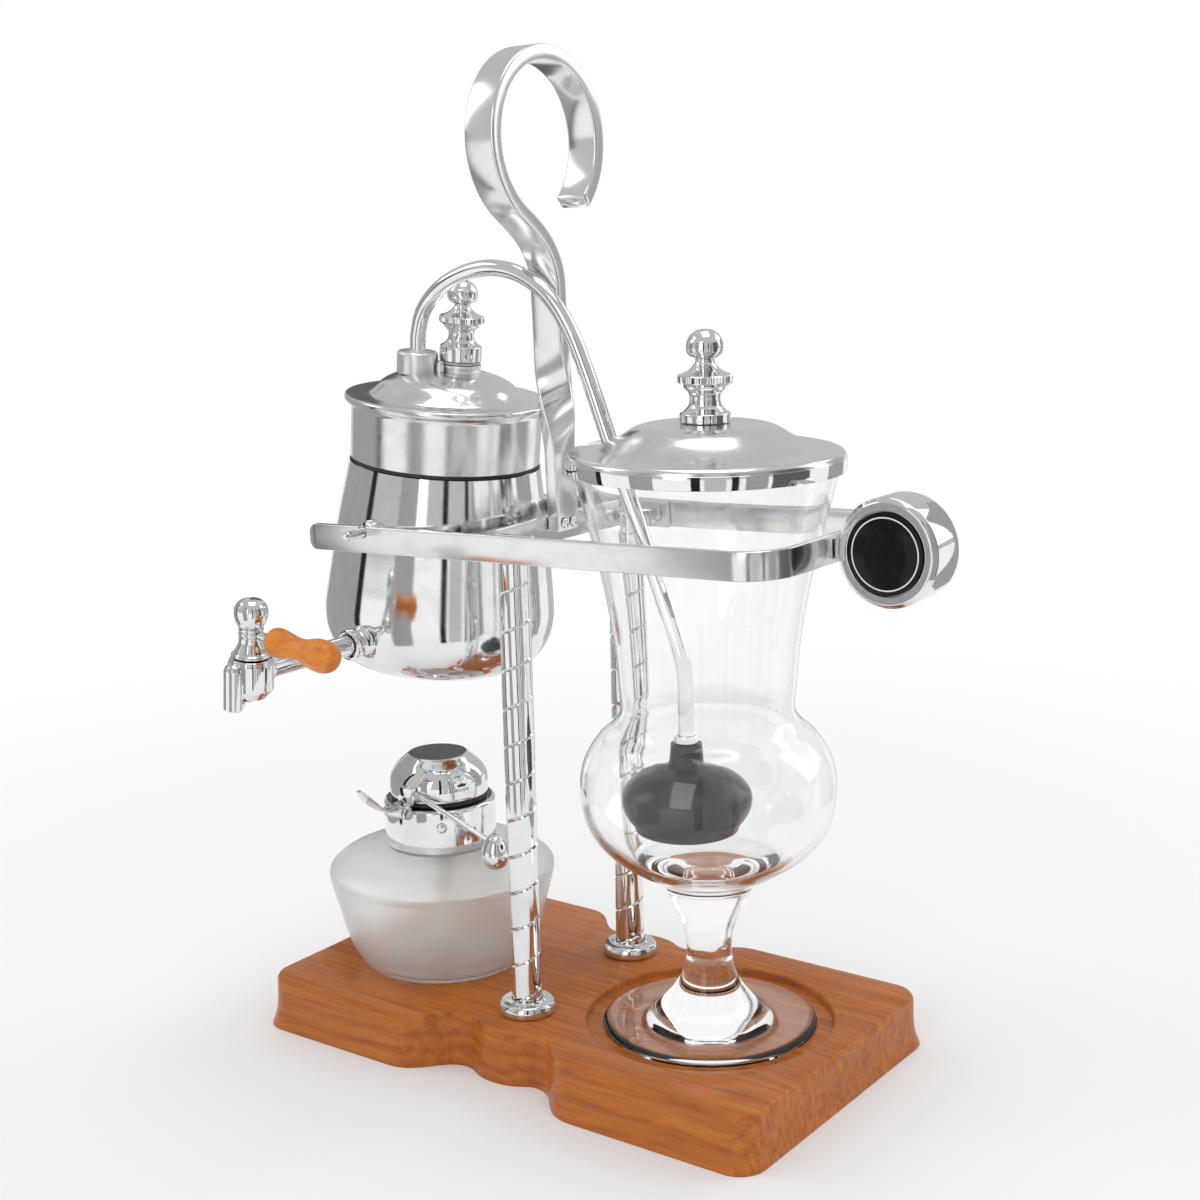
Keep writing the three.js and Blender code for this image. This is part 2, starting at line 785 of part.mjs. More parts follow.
function strapSolid() {
  const stations = strapStations();
  const rings = stations.map(([place, travel, twist], i) => {
    const isTip = i === stations.length - 1;
    const side = point(1, 0, 0).applyAxisAngle(travel, (twist * Math.PI) / 2);
    const face = new THREE.Vector3().crossVectors(travel, side);
    return strapSection(isTip ? strapChamfer : 0).map(([across, out]) => place.clone()
      .addScaledVector(side, across).addScaledVector(face, out));
  });
  return loft(rings);
}

function makeStrap() {
  let body = strapSolid();
  for (const side of [-1, 1]) {
    body = body.subtract(bar(
      point(strapX - strapThickness, footY + side * strapRivetReach, strapRivetRise),
      point(strapX + strapThickness, footY + side * strapRivetReach, strapRivetRise),
      strapRivetRadius + gap, smallSides));
  }
  return piece("handle_strap", body, chrome);
}

function makeStrapRivet(name, side) {
  const y = footY + side * strapRivetReach;
  const front = strapX + strapThickness / 2 + gap;
  const back = yokeFaceX - yokeThickness - gap;
  const shank = bar(point(back - rivetHeadHeight / 2, y, strapRivetRise),
    point(front + rivetHeadHeight / 2, y, strapRivetRise), strapRivetRadius, smallSides);
  const heads = [[front, front + rivetHeadHeight], [back, back - rivetHeadHeight]].map(
    ([near, far]) => bar(point(near, y, strapRivetRise), point(far, y, strapRivetRise),
      strapRivetHeadRadius, smallSides, strapRivetHeadRadius * headTaper));
  return piece(name, add([shank, ...heads]), steel);
}

// Counterweight pieces, with the drum's axis along Y

const drumX = beamCrossReach + gap + lugLength + drumRadius;

// Turned solid about Z, laid along Y at the drum's centre.
function alongDrum(body) {
  return body.rotate([90, 0, 0]).translate([drumX, 0, beamMidRise]);
}

function makeLug() {
  let body = block(point(beamCrossReach + gap, -lugWidth / 2, beamMidRise - lugHeight / 2),
    point(drumX, lugWidth / 2, beamMidRise + lugHeight / 2));
  const drum = turned([[0, -drumWidth], [drumRadius + gap, -drumWidth],
    [drumRadius + gap, drumWidth], [0, drumWidth]], bigSides);
  body = body.subtract(alongDrum(drum));
  body = body.subtract(bar(point(beamCrossReach, 0, beamMidRise),
    point(drumX, 0, beamMidRise), weightScrewRadius + gap, smallSides));
  return piece("counterweight_lug", body, chrome);
}

function makeDrum() {
  const half = drumWidth / 2;
  const floor = half - discRecess;
  const inner = drumRadius - drumWall;
  const points = [
    [0, -floor], [inner, -floor], [inner, -half], [drumRadius - drumChamfer, -half],
    [drumRadius, -half + drumChamfer], [drumRadius, half - drumChamfer],
    [drumRadius - drumChamfer, half], [inner, half], [inner, floor], [0, floor],
  ];
  let body = alongDrum(turned(points, bigSides));
  const mouth = drumX - drumRadius;
  body = body.subtract(bar(point(mouth - overrun, 0, beamMidRise),
    point(mouth + weightScrewBite + gap, 0, beamMidRise), weightScrewRadius + gap, smallSides));
  return piece("counterweight_drum", body, chrome);
}

function makeDisc(name, side, material) {
  const floor = drumWidth / 2 - discRecess + gap;
  const radius = drumRadius - drumWall - gap;
  const crown = discThickness / 4;
  const body = turned([
    [0, floor], [radius, floor], [radius, floor + discThickness - crown],
    [radius - crown, floor + discThickness], [0, floor + discThickness],
  ], bigSides);
  const turn = side < 0 ? body.rotate([90, 0, 0]) : body.rotate([-90, 0, 0]);
  return piece(name, turn.translate([drumX, 0, beamMidRise]), material);
}

function makeWeightScrew() {
  const face = beamCrossReach - beamThickness - gap;
  const head = bar(point(face - weightScrewHeadHeight, 0, beamMidRise), point(face, 0, beamMidRise),
    weightScrewHeadRadius * headTaper, smallSides, weightScrewHeadRadius);
  const shank = bar(point(face - weightScrewHeadHeight / 2, 0, beamMidRise),
    point(drumX - drumRadius + weightScrewBite, 0, beamMidRise), weightScrewRadius, smallSides);
  return piece("counterweight_screw", head.add(shank), steel);
}

// Boiler pieces, in the boiler's own frame with the pins' line at its origin

// Side of the boiler: share of the greatest radius, then share of the height to the seam.
const boilerShares = [[0, 0], [0.628, 0], [0.795, 0.024], [0.91, 0.083], [0.979, 0.165],
  [1, 0.26], [0.981, 0.378], [0.96, 0.473], [0.9, 0.733], [0.847, 0.903], [0.818, 1]];

function tapDirection() {
  const turn = THREE.MathUtils.degToRad(-90 - tapAngle);
  return point(Math.cos(turn), Math.sin(turn), 0);
}

// Point on the tap pipe's line, at a reach from the boiler's axis.
function tapPoint(reach, rise = 0) {
  return tapDirection().multiplyScalar(reach).add(point(0, 0, tapRise + rise));
}

function makeBoilerBody() {
  const height = bodyTopRise + boilerDrop;
  const outer = profileOf(boilerShares, boilerRadius, height, -boilerDrop);
  const inner = insideLine(outer, boilerWall);
  inner[inner.length - 1][1] = outer[outer.length - 1][1];
  let body = turned([...outer, ...inner.reverse()]);
  const root = boilerRadius - 2 * boilerWall;
  const flare = bar(tapPoint(root), tapPoint(pipeRootReach + bossLength),
    bossFlareRadius, holeSides, pipeRadius + gap);
  const inside = turned([[0, -boilerDrop + boilerWall], ...insideLine(outer, boilerWall).slice(1),
    [0, bodyTopRise]]);
  body = body.add(flare.subtract(inside));
  body = body.subtract(bar(tapPoint(root - overrun), tapPoint(pipeRootReach + bossLength + overrun),
    pipeBore, smallSides));
  return piece("boiler_body", body, chrome);
}

function makeBoilerSeal() {
  const low = seamRise - sealThickness / 2;
  return piece("boiler_seal", ring(spigotRadius + gap, lidNeckRadius + gap,
    low, low + sealThickness), rubber);
}

// Neck, rolled rim, flange and dome of the boiler lid, as shares of the rim's radius and of
// the height from the seam to the top of the dome.
const lidShares = [[0.928, 0.553], [0.945, 0.6], [0.985, 0.62], [1, 0.652], [0.99, 0.69],
  [0.955, 0.703], [0.79, 0.708], [0.72, 0.76], [0.62, 0.86], [0.46, 0.94], [0.24, 0.987], [0, 1]];

// The rolled rim is solid, so the inside line leaves out this many points from this one on.
const rimStart = 2;
const rimPoints = 5;

function boilerLidOuter() {
  const height = lidTopRise - lidBaseRise;
  const top = lidShares.map(([across, up]) => [across * lidRimRadius, lidBaseRise + up * height]);
  return [[lidNeckRadius, lidBaseRise], ...top];
}

function makeBoilerLid() {
  const outer = boilerLidOuter();
  const inner = insideLine(outer, lidWall);
  inner[0] = [spigotRadius - lidWall, lidBaseRise + lidWall];
  inner.splice(rimStart, rimPoints);
  const spigotLow = lidBaseRise - spigotDepth;
  const profile = [
    [0, inner[inner.length - 1][1]], ...inner.slice(0, -1).reverse(),
    [spigotRadius - lidWall, spigotLow], [spigotRadius, spigotLow],
    [spigotRadius, lidBaseRise], ...outer,
  ];
  let body = turned(profile);
  const holes = [[fillerX, fillerY, fillerBore], [stopperX, stopperY, stopperPlugRadius + gap]];
  for (const [x, y, radius] of holes) {
    body = body.subtract(bar(point(x, y, seamRise), point(x, y, lidTopRise + overrun),
      radius, holeSides));
  }
  return piece("boiler_lid", body, chrome);
}

// What lies above the lid's top face, with the usual gap to it.
function overLid(body) {
  const cover = boilerLidOuter().map(([radius, rise]) => [radius, rise + gap]);
  return body.subtract(turned([[0, lidBaseRise], ...cover]));
}

function makeTrunnion(name, side, pinLength) {
  const wall = boilerPinRadius + gap;
  const height = bodyTopRise + boilerDrop;
  const skin = profileOf(boilerShares, boilerRadius, height, -boilerDrop)
    .map(([radius, rise]) => [radius + gap, rise]);
  const boss = bar(point(0, side * (wall - pinBossLength), 0),
    point(0, side * (wall + pinBossLength), 0), pinBossRadius, holeSides)
    .subtract(turned([[0, -boilerDrop], ...skin.slice(1), [0, bodyTopRise]]));
  const start = wall + pinBossLength / 2;
  const end = wall + pinBossLength + pinLength;
  const pin = bar(point(0, side * start, 0), point(0, side * (end - pinRadius / 2), 0),
    pinRadius, smallSides);
  const tip = bar(point(0, side * (end - pinRadius / 2), 0), point(0, side * end, 0),
    pinRadius, smallSides, pinRadius / 2);
  return piece(name, add([boss, pin, tip]), chrome);
}

function makeFillerNeck() {
  const low = lidTopRise - fillerRadius / 2;
  return piece("filler_neck", overLid(
    ring(fillerBore, fillerRadius, low, fillerNeckRise, knobSides)
      .translate([fillerX, fillerY, 0])), chrome);
}

function makeFillerWasher() {
  const low = fillerNeckRise + gap;
  const washer = ring(fillerBore, fillerRadius - gap, low, low + fillerWasherThickness, knobSides);
  return piece("filler_washer", washer.translate([fillerX, fillerY, 0]), rubber);
}

// Knob shape shared by the filler cap and the goblet's lid: flange, waist, beaded disc, neck
// and ball, as shares of the disc's radius and of the knob's height.
const knobShares = [[0.93, 0], [0.93, 0.09], [0.86, 0.105], [0.62, 0.17], [0.56, 0.255],
  [0.62, 0.32], [0.76, 0.36], [0.8, 0.385], [0.97, 0.425], [1, 0.44], [1, 0.495], [0.95, 0.51],
  [0.62, 0.56], [0.4, 0.62], [0.34, 0.66], [0.4, 0.69], [0.56, 0.71], [0.665, 0.76],
  [0.68, 0.8], [0.64, 0.87], [0.5, 0.94], [0.3, 0.985], [0, 1]];

function makeFillerCap() {
  const low = fillerNeckRise + gap + fillerWasherThickness + gap;
  const discRadius = fillerRadius / knobShares[0][0];
  const knob = profileOf(knobShares, discRadius, fillerCapHeight, low + fillerFlangeHeight);
  const stub = fillerBore - gap;
  const points = [
    [0, fillerNeckRise - fillerStubLength], [stub, fillerNeckRise - fillerStubLength],
    [stub, low], [fillerRadius, low], ...knob,
  ];
  return piece("filler_cap", turned(points, knobSides).translate([fillerX, fillerY, 0]), chrome);
}

function makeStopper() {
  const low = lidTopRise - stopperPlugDrop;
  const top = stopperTopRise - stopperCapHeight - gap;
  const bore = tubeRadius + gap;
  let body = turned([
    [bore, low], [stopperPlugRadius - gap, low], [stopperPlugRadius, top], [bore, top],
  ], knobSides);
  const brim = ring(stopperPlugRadius - gap, stopperRadius, low, top, knobSides)
    .translate([stopperX, stopperY, 0]);
  body = body.translate([stopperX, stopperY, 0]).add(overLid(brim));
  return piece("tube_stopper", body, rubber);
}

function makeStopperCap() {
  const low = stopperTopRise - stopperCapHeight;
  const bore = tubeRadius + gap;
  const edge = stopperCapHeight / 10;
  const body = turned([
    [bore, low], [stopperRadius, low], [stopperRadius, stopperTopRise - edge],
    [stopperRadius - edge, stopperTopRise], [bore, stopperTopRise + edge / 2],
  ], knobSides);
  return piece("stopper_cap", body.translate([stopperX, stopperY, 0]), chrome);
}

// Small pressure relief pin that stands on the lid beside the stopper and the filler neck.
function makeReliefPin() {
  const middleX = (fillerX + stopperX) / 2;
  const middleY = (fillerY + stopperY) / 2;
  const across = point(fillerY - stopperY, stopperX - fillerX, 0).normalize();
  const near = point(middleX, middleY, 0).addScaledVector(across, reliefPinOffset);
  const post = bar(near.clone().setZ(lidTopRise - reliefPinBite),
    near.clone().setZ(reliefPinTopRise), reliefPinRadius, smallSides);
  return piece("relief_pin", overLid(post), steel);
}

// Tap pieces, along the pipe's line

function makeTapPipe() {
  const start = tapPoint(pipeRootReach + bossLength + gap);
  const end = tapPoint(pipeReach);
  const body = bar(start, end, pipeRadius, holeSides)
    .subtract(bar(tapPoint(pipeRootReach), tapPoint(pipeReach + overrun), pipeBore, smallSides));
  return piece("tap_pipe", body, chrome);
}

function makePipeNut() {
  const start = pipeRootReach + bossLength + gap;
  const body = bar(tapPoint(start), tapPoint(start + pipeNutLength), pipeNutRadius, knobSides)
    .subtract(bar(tapPoint(start - overrun), tapPoint(start + pipeNutLength + overrun),
      pipeRadius + gap, holeSides));
  return piece("pipe_nut", body, chrome);
}

// Moves a solid made on the Z axis to a reach along the tap's line.
function atTap(body, reach = tapReach) {
  const place = tapPoint(reach);
  return body.rotate([0, 0, -90 - tapAngle]).translate([place.x, place.y, place.z]);
}

function makeTapBody() {
  const shoulder = tapBodyRadius / 5;
  const barrel = turned([
    [0, -tapBodyDrop], [tapBodyRadius - shoulder, -tapBodyDrop],
    [tapBodyRadius, -tapBodyDrop + 2 * shoulder], [tapBodyRadius, tapBodyRise - shoulder],
    [tapBodyRadius - shoulder, tapBodyRise], [0, tapBodyRise],
  ], knobSides);
  const spout = bar(point(spoutOffset, 0, -spoutDrop), point(spoutOffset, 0, spoutTopRise),
    spoutRadius, smallSides);
  const cap = bar(point(spoutOffset, 0, spoutTopRise),
    point(spoutOffset, 0, spoutTopRise + spoutRadius / 2), spoutRadius, smallSides, spoutRadius / 2);
  const web = block(point(0, -spoutRadius, -spoutWebDrop), point(spoutOffset, spoutRadius, 0));
  const socket = bar(point(-tapBodyRadius - gap, 0, 0), point(0, 0, 0),
    pipeRadius + 2 * gap, holeSides);
  let body = add([barrel, spout, cap, web, socket]);
  const slope = block(point(-tapReach, -tapReach, -tapReach), point(tapReach, tapReach, 0))
    .rotate([0, spoutSlope, 0]).translate([spoutOffset, 0, -spoutDrop]);
  body = body.subtract(slope);
  const keyHole = bar(point(0, 0, -keyDrop - 2 * gap), point(0, 0, tapBodyRise + overrun),
    keyBore, knobSides);
  const outlet = bar(point(spoutOffset, 0, -spoutDrop - overrun), point(spoutOffset, 0, 0),
    spoutBore, smallSides);
  const passage = bar(point(-tapBodyRadius - overrun, 0, 0), point(spoutOffset, 0, 0),
    pipeBore, smallSides);
  body = body.subtract(keyHole).subtract(outlet).subtract(passage);
  return piece("tap_body", atTap(body), chrome);
}

// Tap key: plug, bell, ringed neck and ball, as shares of the ball's radius and stem height.
const neckShare = 0.72;
const bellShares = [[1.13, 0], [1.16, 0.03], [0.9, 0.14], [neckShare, 0.26], [neckShare, 0.34],
  [0.62, 0.36], [0.62, 0.38], [neckShare, 0.4], [0.7, 0.5]];
const ballShares = [[0.66, 0.51], [0.9, 0.62], [1, 0.74], [0.92, 0.87], [0.6, 0.97], [0, 1]];

function makeTapKey() {
  const base = tapBodyRise + gap;
  const plug = keyBore - gap;
  const points = [
    [0, -keyDrop], [plug, -keyDrop], [plug, base],
    ...profileOf([...bellShares, ...ballShares], tapBallRadius, tapStemHeight, base),
  ];
  const body = turned(points, knobSides);
  const cross = bar(point(0, -tapBodyRadius, 0), point(0, tapBodyRadius, 0), pipeBore, smallSides);
  return piece("tap_key", atTap(body.subtract(cross)), chrome);
}

// The lever leaves the key's neck square to the pipe while the tap is shut.
function makeTapLever() {
  const neck = tapBallRadius * neckShare + gap;
  const body = bar(point(0, neck, tapLeverRise), point(0, neck + tapLeverLength + gripBite, tapLeverRise),
    tapLeverRadius, smallSides);
  return piece("tap_lever", atTap(body), chrome);
}

// Wooden grip: share of its greatest radius, then share of its length.
const gripShares = [[0.5, 0], [0.82, 0.03], [0.9, 0.1], [0.8, 0.25], [0.67, 0.42], [0.74, 0.54],
  [0.93, 0.66], [1, 0.76], [0.93, 0.88], [0.66, 0.97], [0, 1]];

function makeTapGrip() {
  const start = tapBallRadius * neckShare + gap + tapLeverLength;
  const profile = [[0, 0], ...profileOf(gripShares, gripRadius, gripLength)];
  let body = turned(profile, knobSides);
  body = body.subtract(bar(point(0, 0, -overrun), point(0, 0, gripBite + gap),
    tapLeverRadius + gap, smallSides));
  body = body.rotate([-90, 0, 0]).translate([0, start, tapLeverRise]);
  return piece("tap_grip", atTap(body), gripWood);
}

// Siphon tube and filter, in the object's frame

// Point of the boiler's frame as it stands in the object's frame at rest.
function boilerPoint(x, y, rise) {
  const lean = THREE.MathUtils.degToRad(boilerLean);
  const turned = point(x, y, rise).applyAxisAngle(point(0, 1, 0), lean);
  return turned.add(boilerPlace());
}

function boilerPlace() {
  const tilt = THREE.MathUtils.degToRad(beamTilt);
  const pin = point(-boilerReach, 0, boilerPinRise).applyAxisAngle(point(0, 1, 0), tilt);
  return pin.add(point(columnX, 0, pivotHeight));
}

// The arch and the slanting leg: share of the way from the stopper to the filter, then share
// of the drop from the top of the arch to the filter's neck.
const archShares = [[0.005, 0.15], [0.03, 0.098], [0.095, 0.05], [0.2, 0.013], [0.31, 0],
  [0.42, 0.013], [0.52, 0.055], [0.6, 0.127], [0.662, 0.22], [0.74, 0.36], [0.83, 0.52],
  [0.92, 0.68], [0.972, 0.775], [0.994, 0.83], [1, 0.9], [1, 0.96]];
const archRise = 33.4;

function siphonPath() {
  const foot = boilerPoint(stopperX, stopperY, -boilerDrop + boilerWall + dipClearance);
  const middle = boilerPoint(stopperX, stopperY, 0);
  const mouth = boilerPoint(stopperX, stopperY, stopperTopRise);
  const above = boilerPoint(stopperX, stopperY, stopperTopRise + tubeRadius);
  const filterTop = filterRise + filterHeadHeight;
  const drop = mouth.z + archRise - filterTop;
  const arch = archShares.map(([along, down]) => point(
    mouth.x + along * (filterX - mouth.x), stopperY, mouth.z + archRise - down * drop));
  const end = point(filterX, stopperY, filterTop - filterNeckBore + gap);
  return new THREE.CatmullRomCurve3([foot, middle, mouth, above, ...arch, end], false, "centripetal");
}

function makeSiphonTube() {
  const section = new THREE.Shape();
  section.absarc(0, 0, tubeRadius, 0, Math.PI * 2, false);
  const bore = new THREE.Path();
  bore.absarc(0, 0, tubeBore, 0, Math.PI * 2, true);
  section.holes.push(bore);
  const geometry = new THREE.ExtrudeGeometry(section, {
    steps: tubeSteps,
    extrudePath: siphonPath(),
    curveSegments: tubeHalfSides,
  });
  return piece("siphon_tube", solid(geometry), chrome);
}

// Filter body: neck, shoulder and disc, as shares of its radius and height.
const filterShares = [[0.77, 0], [0.8, 0.06], [0.94, 0.21], [1, 0.36], [0.96, 0.48], [0.78, 0.63],
  [0.5, 0.735], [0.28, 0.78], [0.255, 0.83], [0.24, 1]];

function makeFilterHead() {
  const top = filterRise + filterHeadHeight;
  const floor = filterRise + screenRecess + screenThickness;
  const outer = profileOf(filterShares, filterRadius, filterHeadHeight, filterRise);
  const socket = tubeRadius + gap;
  const body = turned([
    [filterPassage, floor], [filterRimRadius, floor],
    [filterRimRadius, filterRise], ...outer,
    [socket, top], [socket, top - filterNeckBore], [filterPassage, top - filterNeckBore],
  ], bigSides);
  return piece("filter_head", body.translate([filterX, stopperY, 0]), darkFilter);
}

function makeFilterScreen() {
  const high = filterRise + screenRecess + screenThickness - gap;
  const body = turned([[0, high - screenThickness], [filterRimRadius - gap, high - screenThickness],
    [filterRimRadius - gap, high], [0, high]], knobSides);
  return piece("filter_screen", body.translate([filterX, stopperY, 0]), steel);
}

function makeFerrule() {
  const low = filterRise + filterHeadHeight + gap;
  const body = ring(tubeRadius + gap, ferruleRadius, low, low + ferruleHeight, holeSides);
  return piece("filter_ferrule", body.translate([filterX, stopperY, 0]), chrome);
}

// Goblet: outer line from the foot to the rim, as shares of its radius and height.
const gobletShares = [[0.848, 0], [0.86, 0.004], [0.848, 0.0085], [0.52, 0.0148], [0.448, 0.0274],
  [0.304, 0.0612], [0.21, 0.099], [0.178, 0.1415], [0.214, 0.192], [0.28, 0.2245],
  [0.378, 0.267], [0.592, 0.298], [0.818, 0.336], [0.946, 0.378], [0.998, 0.4365],
  [0.962, 0.49], [0.84, 0.5345], [0.722, 0.5585], [0.674, 0.578], [0.684, 0.6245],
  [0.716, 0.7067], [0.788, 0.802], [0.884, 0.891], [0.976, 0.973], [1, 1]];
// The bowl is hollow from this point of the line on.
const bowlStart = 11;

function makeGoblet() {
  const outer = profileOf(gobletShares, gobletRadius, gobletHeight, gobletBase);
  const inner = insideLine(outer, gobletWall).slice(bowlStart).reverse();
  inner[0][1] = gobletTop;
  inner.push([inner[inner.length - 1][0] / 2, gobletBase + bowlFloorRise + gobletWall / 4]);
  const body = turned([[0, gobletBase], ...outer, ...inner, [0, gobletBase + bowlFloorRise]]);
  return piece("goblet", body.translate([gobletX, 0, 0]), clearGlass);
}

// Lid of the goblet: rim band, hollow flare and dome, as shares of the rim's radius and rise.
const glassLidShares = [[1, -0.06], [1, 0.14], [0.985, 0.24], [0.965, 0.29], [0.94, 0.3],
  [0.81, 0.36], [0.73, 0.45], [0.63, 0.62], [0.525, 0.85], [0.46, 0.93], [0.3, 0.985], [0, 1]];

// The rounded lip is solid, so the inside line leaves out this many points from this one on.
const lipStart = 3;
const lipPoints = 2;

function makeGlassLid() {
  const rim = gobletRadius + lidBandWidth;
  const underside = gobletTop + gap;
  const outer = [[rim, glassLidTop - lidBandHeight],
    ...profileOf(glassLidShares, rim, glassLidRise, glassLidTop)];
  const inner = insideLine(outer, glassLidWall);
  inner[0] = [rim - glassLidWall, outer[0][1]];
  inner[1] = [rim - glassLidWall, underside];
  inner[2] = [gobletRadius - gobletWall, underside];
  inner.splice(lipStart, lipPoints);
  let body = turned([[0, inner[inner.length - 1][1]], ...inner.slice(0, -1).reverse(), ...outer]);
  const notch = new THREE.Shape();
  const half = notchWidth / 2;
  notch.moveTo(-rim - overrun, -half);
  notch.lineTo(-notchReach - half, -half);
  notch.absarc(-notchReach - half, 0, half, -Math.PI / 2, Math.PI / 2, false);
  notch.lineTo(-rim - overrun, half);
  const cut = plate(notch, underside - lidBandHeight - overrun, glassLidTop + glassLidRise + overrun);
  body = body.subtract(cut.translate([0, stopperY, 0]));
  body = body.subtract(bar(point(0, 0, underside), point(0, 0, glassLidTop + glassLidRise + overrun),
    lidStudRadius + gap, smallSides));
  return piece("glass_lid", body.translate([gobletX, 0, 0]), chrome);
}

function makeLidKnob() {
  const base = glassLidTop + glassLidRise + gap;
  const knob = profileOf(knobShares, lidKnobRadius, lidKnobHeight, base);
  const body = turned([[0, base - lidStudLength], [lidStudRadius, base - lidStudLength],
    [lidStudRadius, base], ...knob], knobSides);
  return piece("lid_knob", body.translate([gobletX, 0, 0]), chrome);
}

function makeLidNut() {
  const top = glassLidTop + glassLidRise - glassLidWall - gap;
  const nut = bar(point(0, 0, top - lidNutHeight), point(0, 0, top), lidNutRadius, hexSides)
    .subtract(bar(point(0, 0, top - lidNutHeight - overrun), point(0, 0, top + overrun),
      lidStudRadius + gap, smallSides));
  return piece("lid_nut", nut.translate([gobletX, 0, 0]), steel);
}

// Burner pieces, about the burner's own axis

// Bottle: outer line from the flat bottom to the bead, as shares of its radius and height.
const bottleShares = [[0, 0], [0.65, 0], [0.735, 0.035], [0.785, 0.1], [0.842, 0.2], [0.93, 0.49],
  [1, 0.72], [1, 0.78], [0.972, 0.82], [0.915, 0.86], [0.785, 0.92], [0.6, 0.967], [0.52, 0.98],
  [0.515, 1]];

function makeBottle() {
  const outer = profileOf(bottleShares, bottleRadius, bottleHeight, bottleBase);
  const shoulder = bottleBase + bottleHeight;
  const mouth = shoulder + bottleNeckHeight;
  const inner = insideLine(outer, bottleWall).slice(0, -2).reverse();
  const bore = bottleNeckRadius - bottleWall;
  const neck = [[bottleNeckRadius, shoulder], [bottleNeckRadius, mouth], [bore, mouth],
    [bore, shoulder - bottleWall]];
  return piece("burner_bottle", turned([...outer, ...neck, ...inner]), frostedGlass);
}

function makeBurnerCollar() {
  const wall = burnerCollarWall;
  const edge = wall / 2;
  const rim = burnerCollarRadius;
  const hole = wickTubeRadius + gap;
  return piece("burner_collar", turned([
    [rim - wall, collarBase], [rim, collarBase], [rim, collarTop - edge], [rim - edge, collarTop],
    [hole, collarTop], [hole, collarTop - wall], [rim - wall, collarTop - wall],
  ]), chrome);
}

function makeWickTube() {
  const flangeLow = collarTop + gap;
  const flangeTop = flangeLow + wickFlangeThickness;
  const bore = wickTubeRadius - wickTubeWall;
  return piece("wick_tube", turned([
    [bore, collarTop - wickTubeDrop], [wickTubeRadius, collarTop - wickTubeDrop],
    [wickTubeRadius, flangeLow], [wickFlangeRadius, flangeLow], [wickFlangeRadius, flangeTop],
    [wickTubeRadius, flangeTop], [wickTubeRadius, collarTop + wickTubeRise],
    [bore, collarTop + wickTubeRise],
  ], holeSides), chrome);
}

function makeWick() {
  const radius = wickTubeRadius - wickTubeWall - gap;
  const top = collarTop + wickTubeRise + wickRise;
  return piece("wick", turned([[0, collarTop - wickDrop], [radius, collarTop - wickDrop],
    [radius, top - radius / 3], [radius * 0.75, top], [0, top]], smallSides), cotton);
}

const hingeHeight = collarTop + gap;

function makeHingeBracket() {
  const back = -(burnerCollarRadius + gap);
  const face = back - hingeBackThickness;
  const low = hingeHeight - earHeight;
  const inner = knuckleWidth / 2 + gap;
  const outer = inner + earThickness;
  const backPlate = block(point(hingeX - outer, face, low),
    point(hingeX + outer, back + knuckleRadius, hingeHeight - knuckleRadius));
  const wall = turned([[0, low - overrun], [burnerCollarRadius + gap, low - overrun],
    [burnerCollarRadius + gap, hingeHeight + overrun], [0, hingeHeight + overrun]]);
  const bodies = [backPlate.subtract(wall)];
  for (const side of [-1, 1]) {
    const near = hingeX + side * inner;
    const far = hingeX + side * outer;
    const ear = block(point(Math.min(near, far), hingeY, low),
      point(Math.max(near, far), back + knuckleRadius, hingeHeight)).subtract(wall);
    const round = bar(point(Math.min(near, far), hingeY, hingeHeight),
      point(Math.max(near, far), hingeY, hingeHeight), knuckleRadius, holeSides);
    bodies.push(ear, round.subtract(wall));
  }
  const hole = bar(point(hingeX - outer - overrun, hingeY, hingeHeight),
    point(hingeX + outer + overrun, hingeY, hingeHeight), hingePinRadius + gap, smallSides);
  return piece("hinge_bracket", add(bodies).subtract(hole), chrome);
}

function makeHingePin() {
  const reach = knuckleWidth / 2 + gap + earThickness + gap;
  const head = earThickness / 2;
  const pin = bar(point(hingeX - reach, hingeY, hingeHeight),
    point(hingeX + reach, hingeY, hingeHeight), hingePinRadius, smallSides);
  const knob = bar(point(hingeX + reach, hingeY, hingeHeight),
    point(hingeX + reach + head, hingeY, hingeHeight), hingePinHeadRadius, smallSides);
  return piece("hinge_pin", pin.add(knob), steel);
}

// Snuffer cap: straight skirt, then a dome with a flat top, as shares of radius and height.
const snufferShares = [[1, 0], [1, 0.32], [0.97, 0.48], [0.9, 0.64], [0.8, 0.78], [0.68, 0.9],
  [0.6, 1], [0, 1]];

function makeSnufferDome() {
  const outer = profileOf(snufferShares, snufferRadius, snufferHeight, snufferBase);
  const inner = insideLine(outer, snufferWall);
  inner[0][1] = snufferBase;
  return piece("snuffer_dome", turned([...outer, ...inner.reverse()], bigSides), chrome);
}

function makeSnufferSeal() {
  const low = collarTop + gap;
  return piece("snuffer_seal", ring(snufferRadius - snufferSealWidth, snufferRadius - gap,
    low, low + snufferSealThickness, bigSides), rubber);
}

// Curved tab: share of its reach, share of its rise and share of its width.
const tabShares = [[0, 0, 0.6], [0.2, 0.02, 0.66], [0.42, 0.16, 0.86], [0.64, 0.42, 1],
  [0.84, 0.74, 0.86], [0.95, 0.92, 0.56], [1, 1, 0.3]];

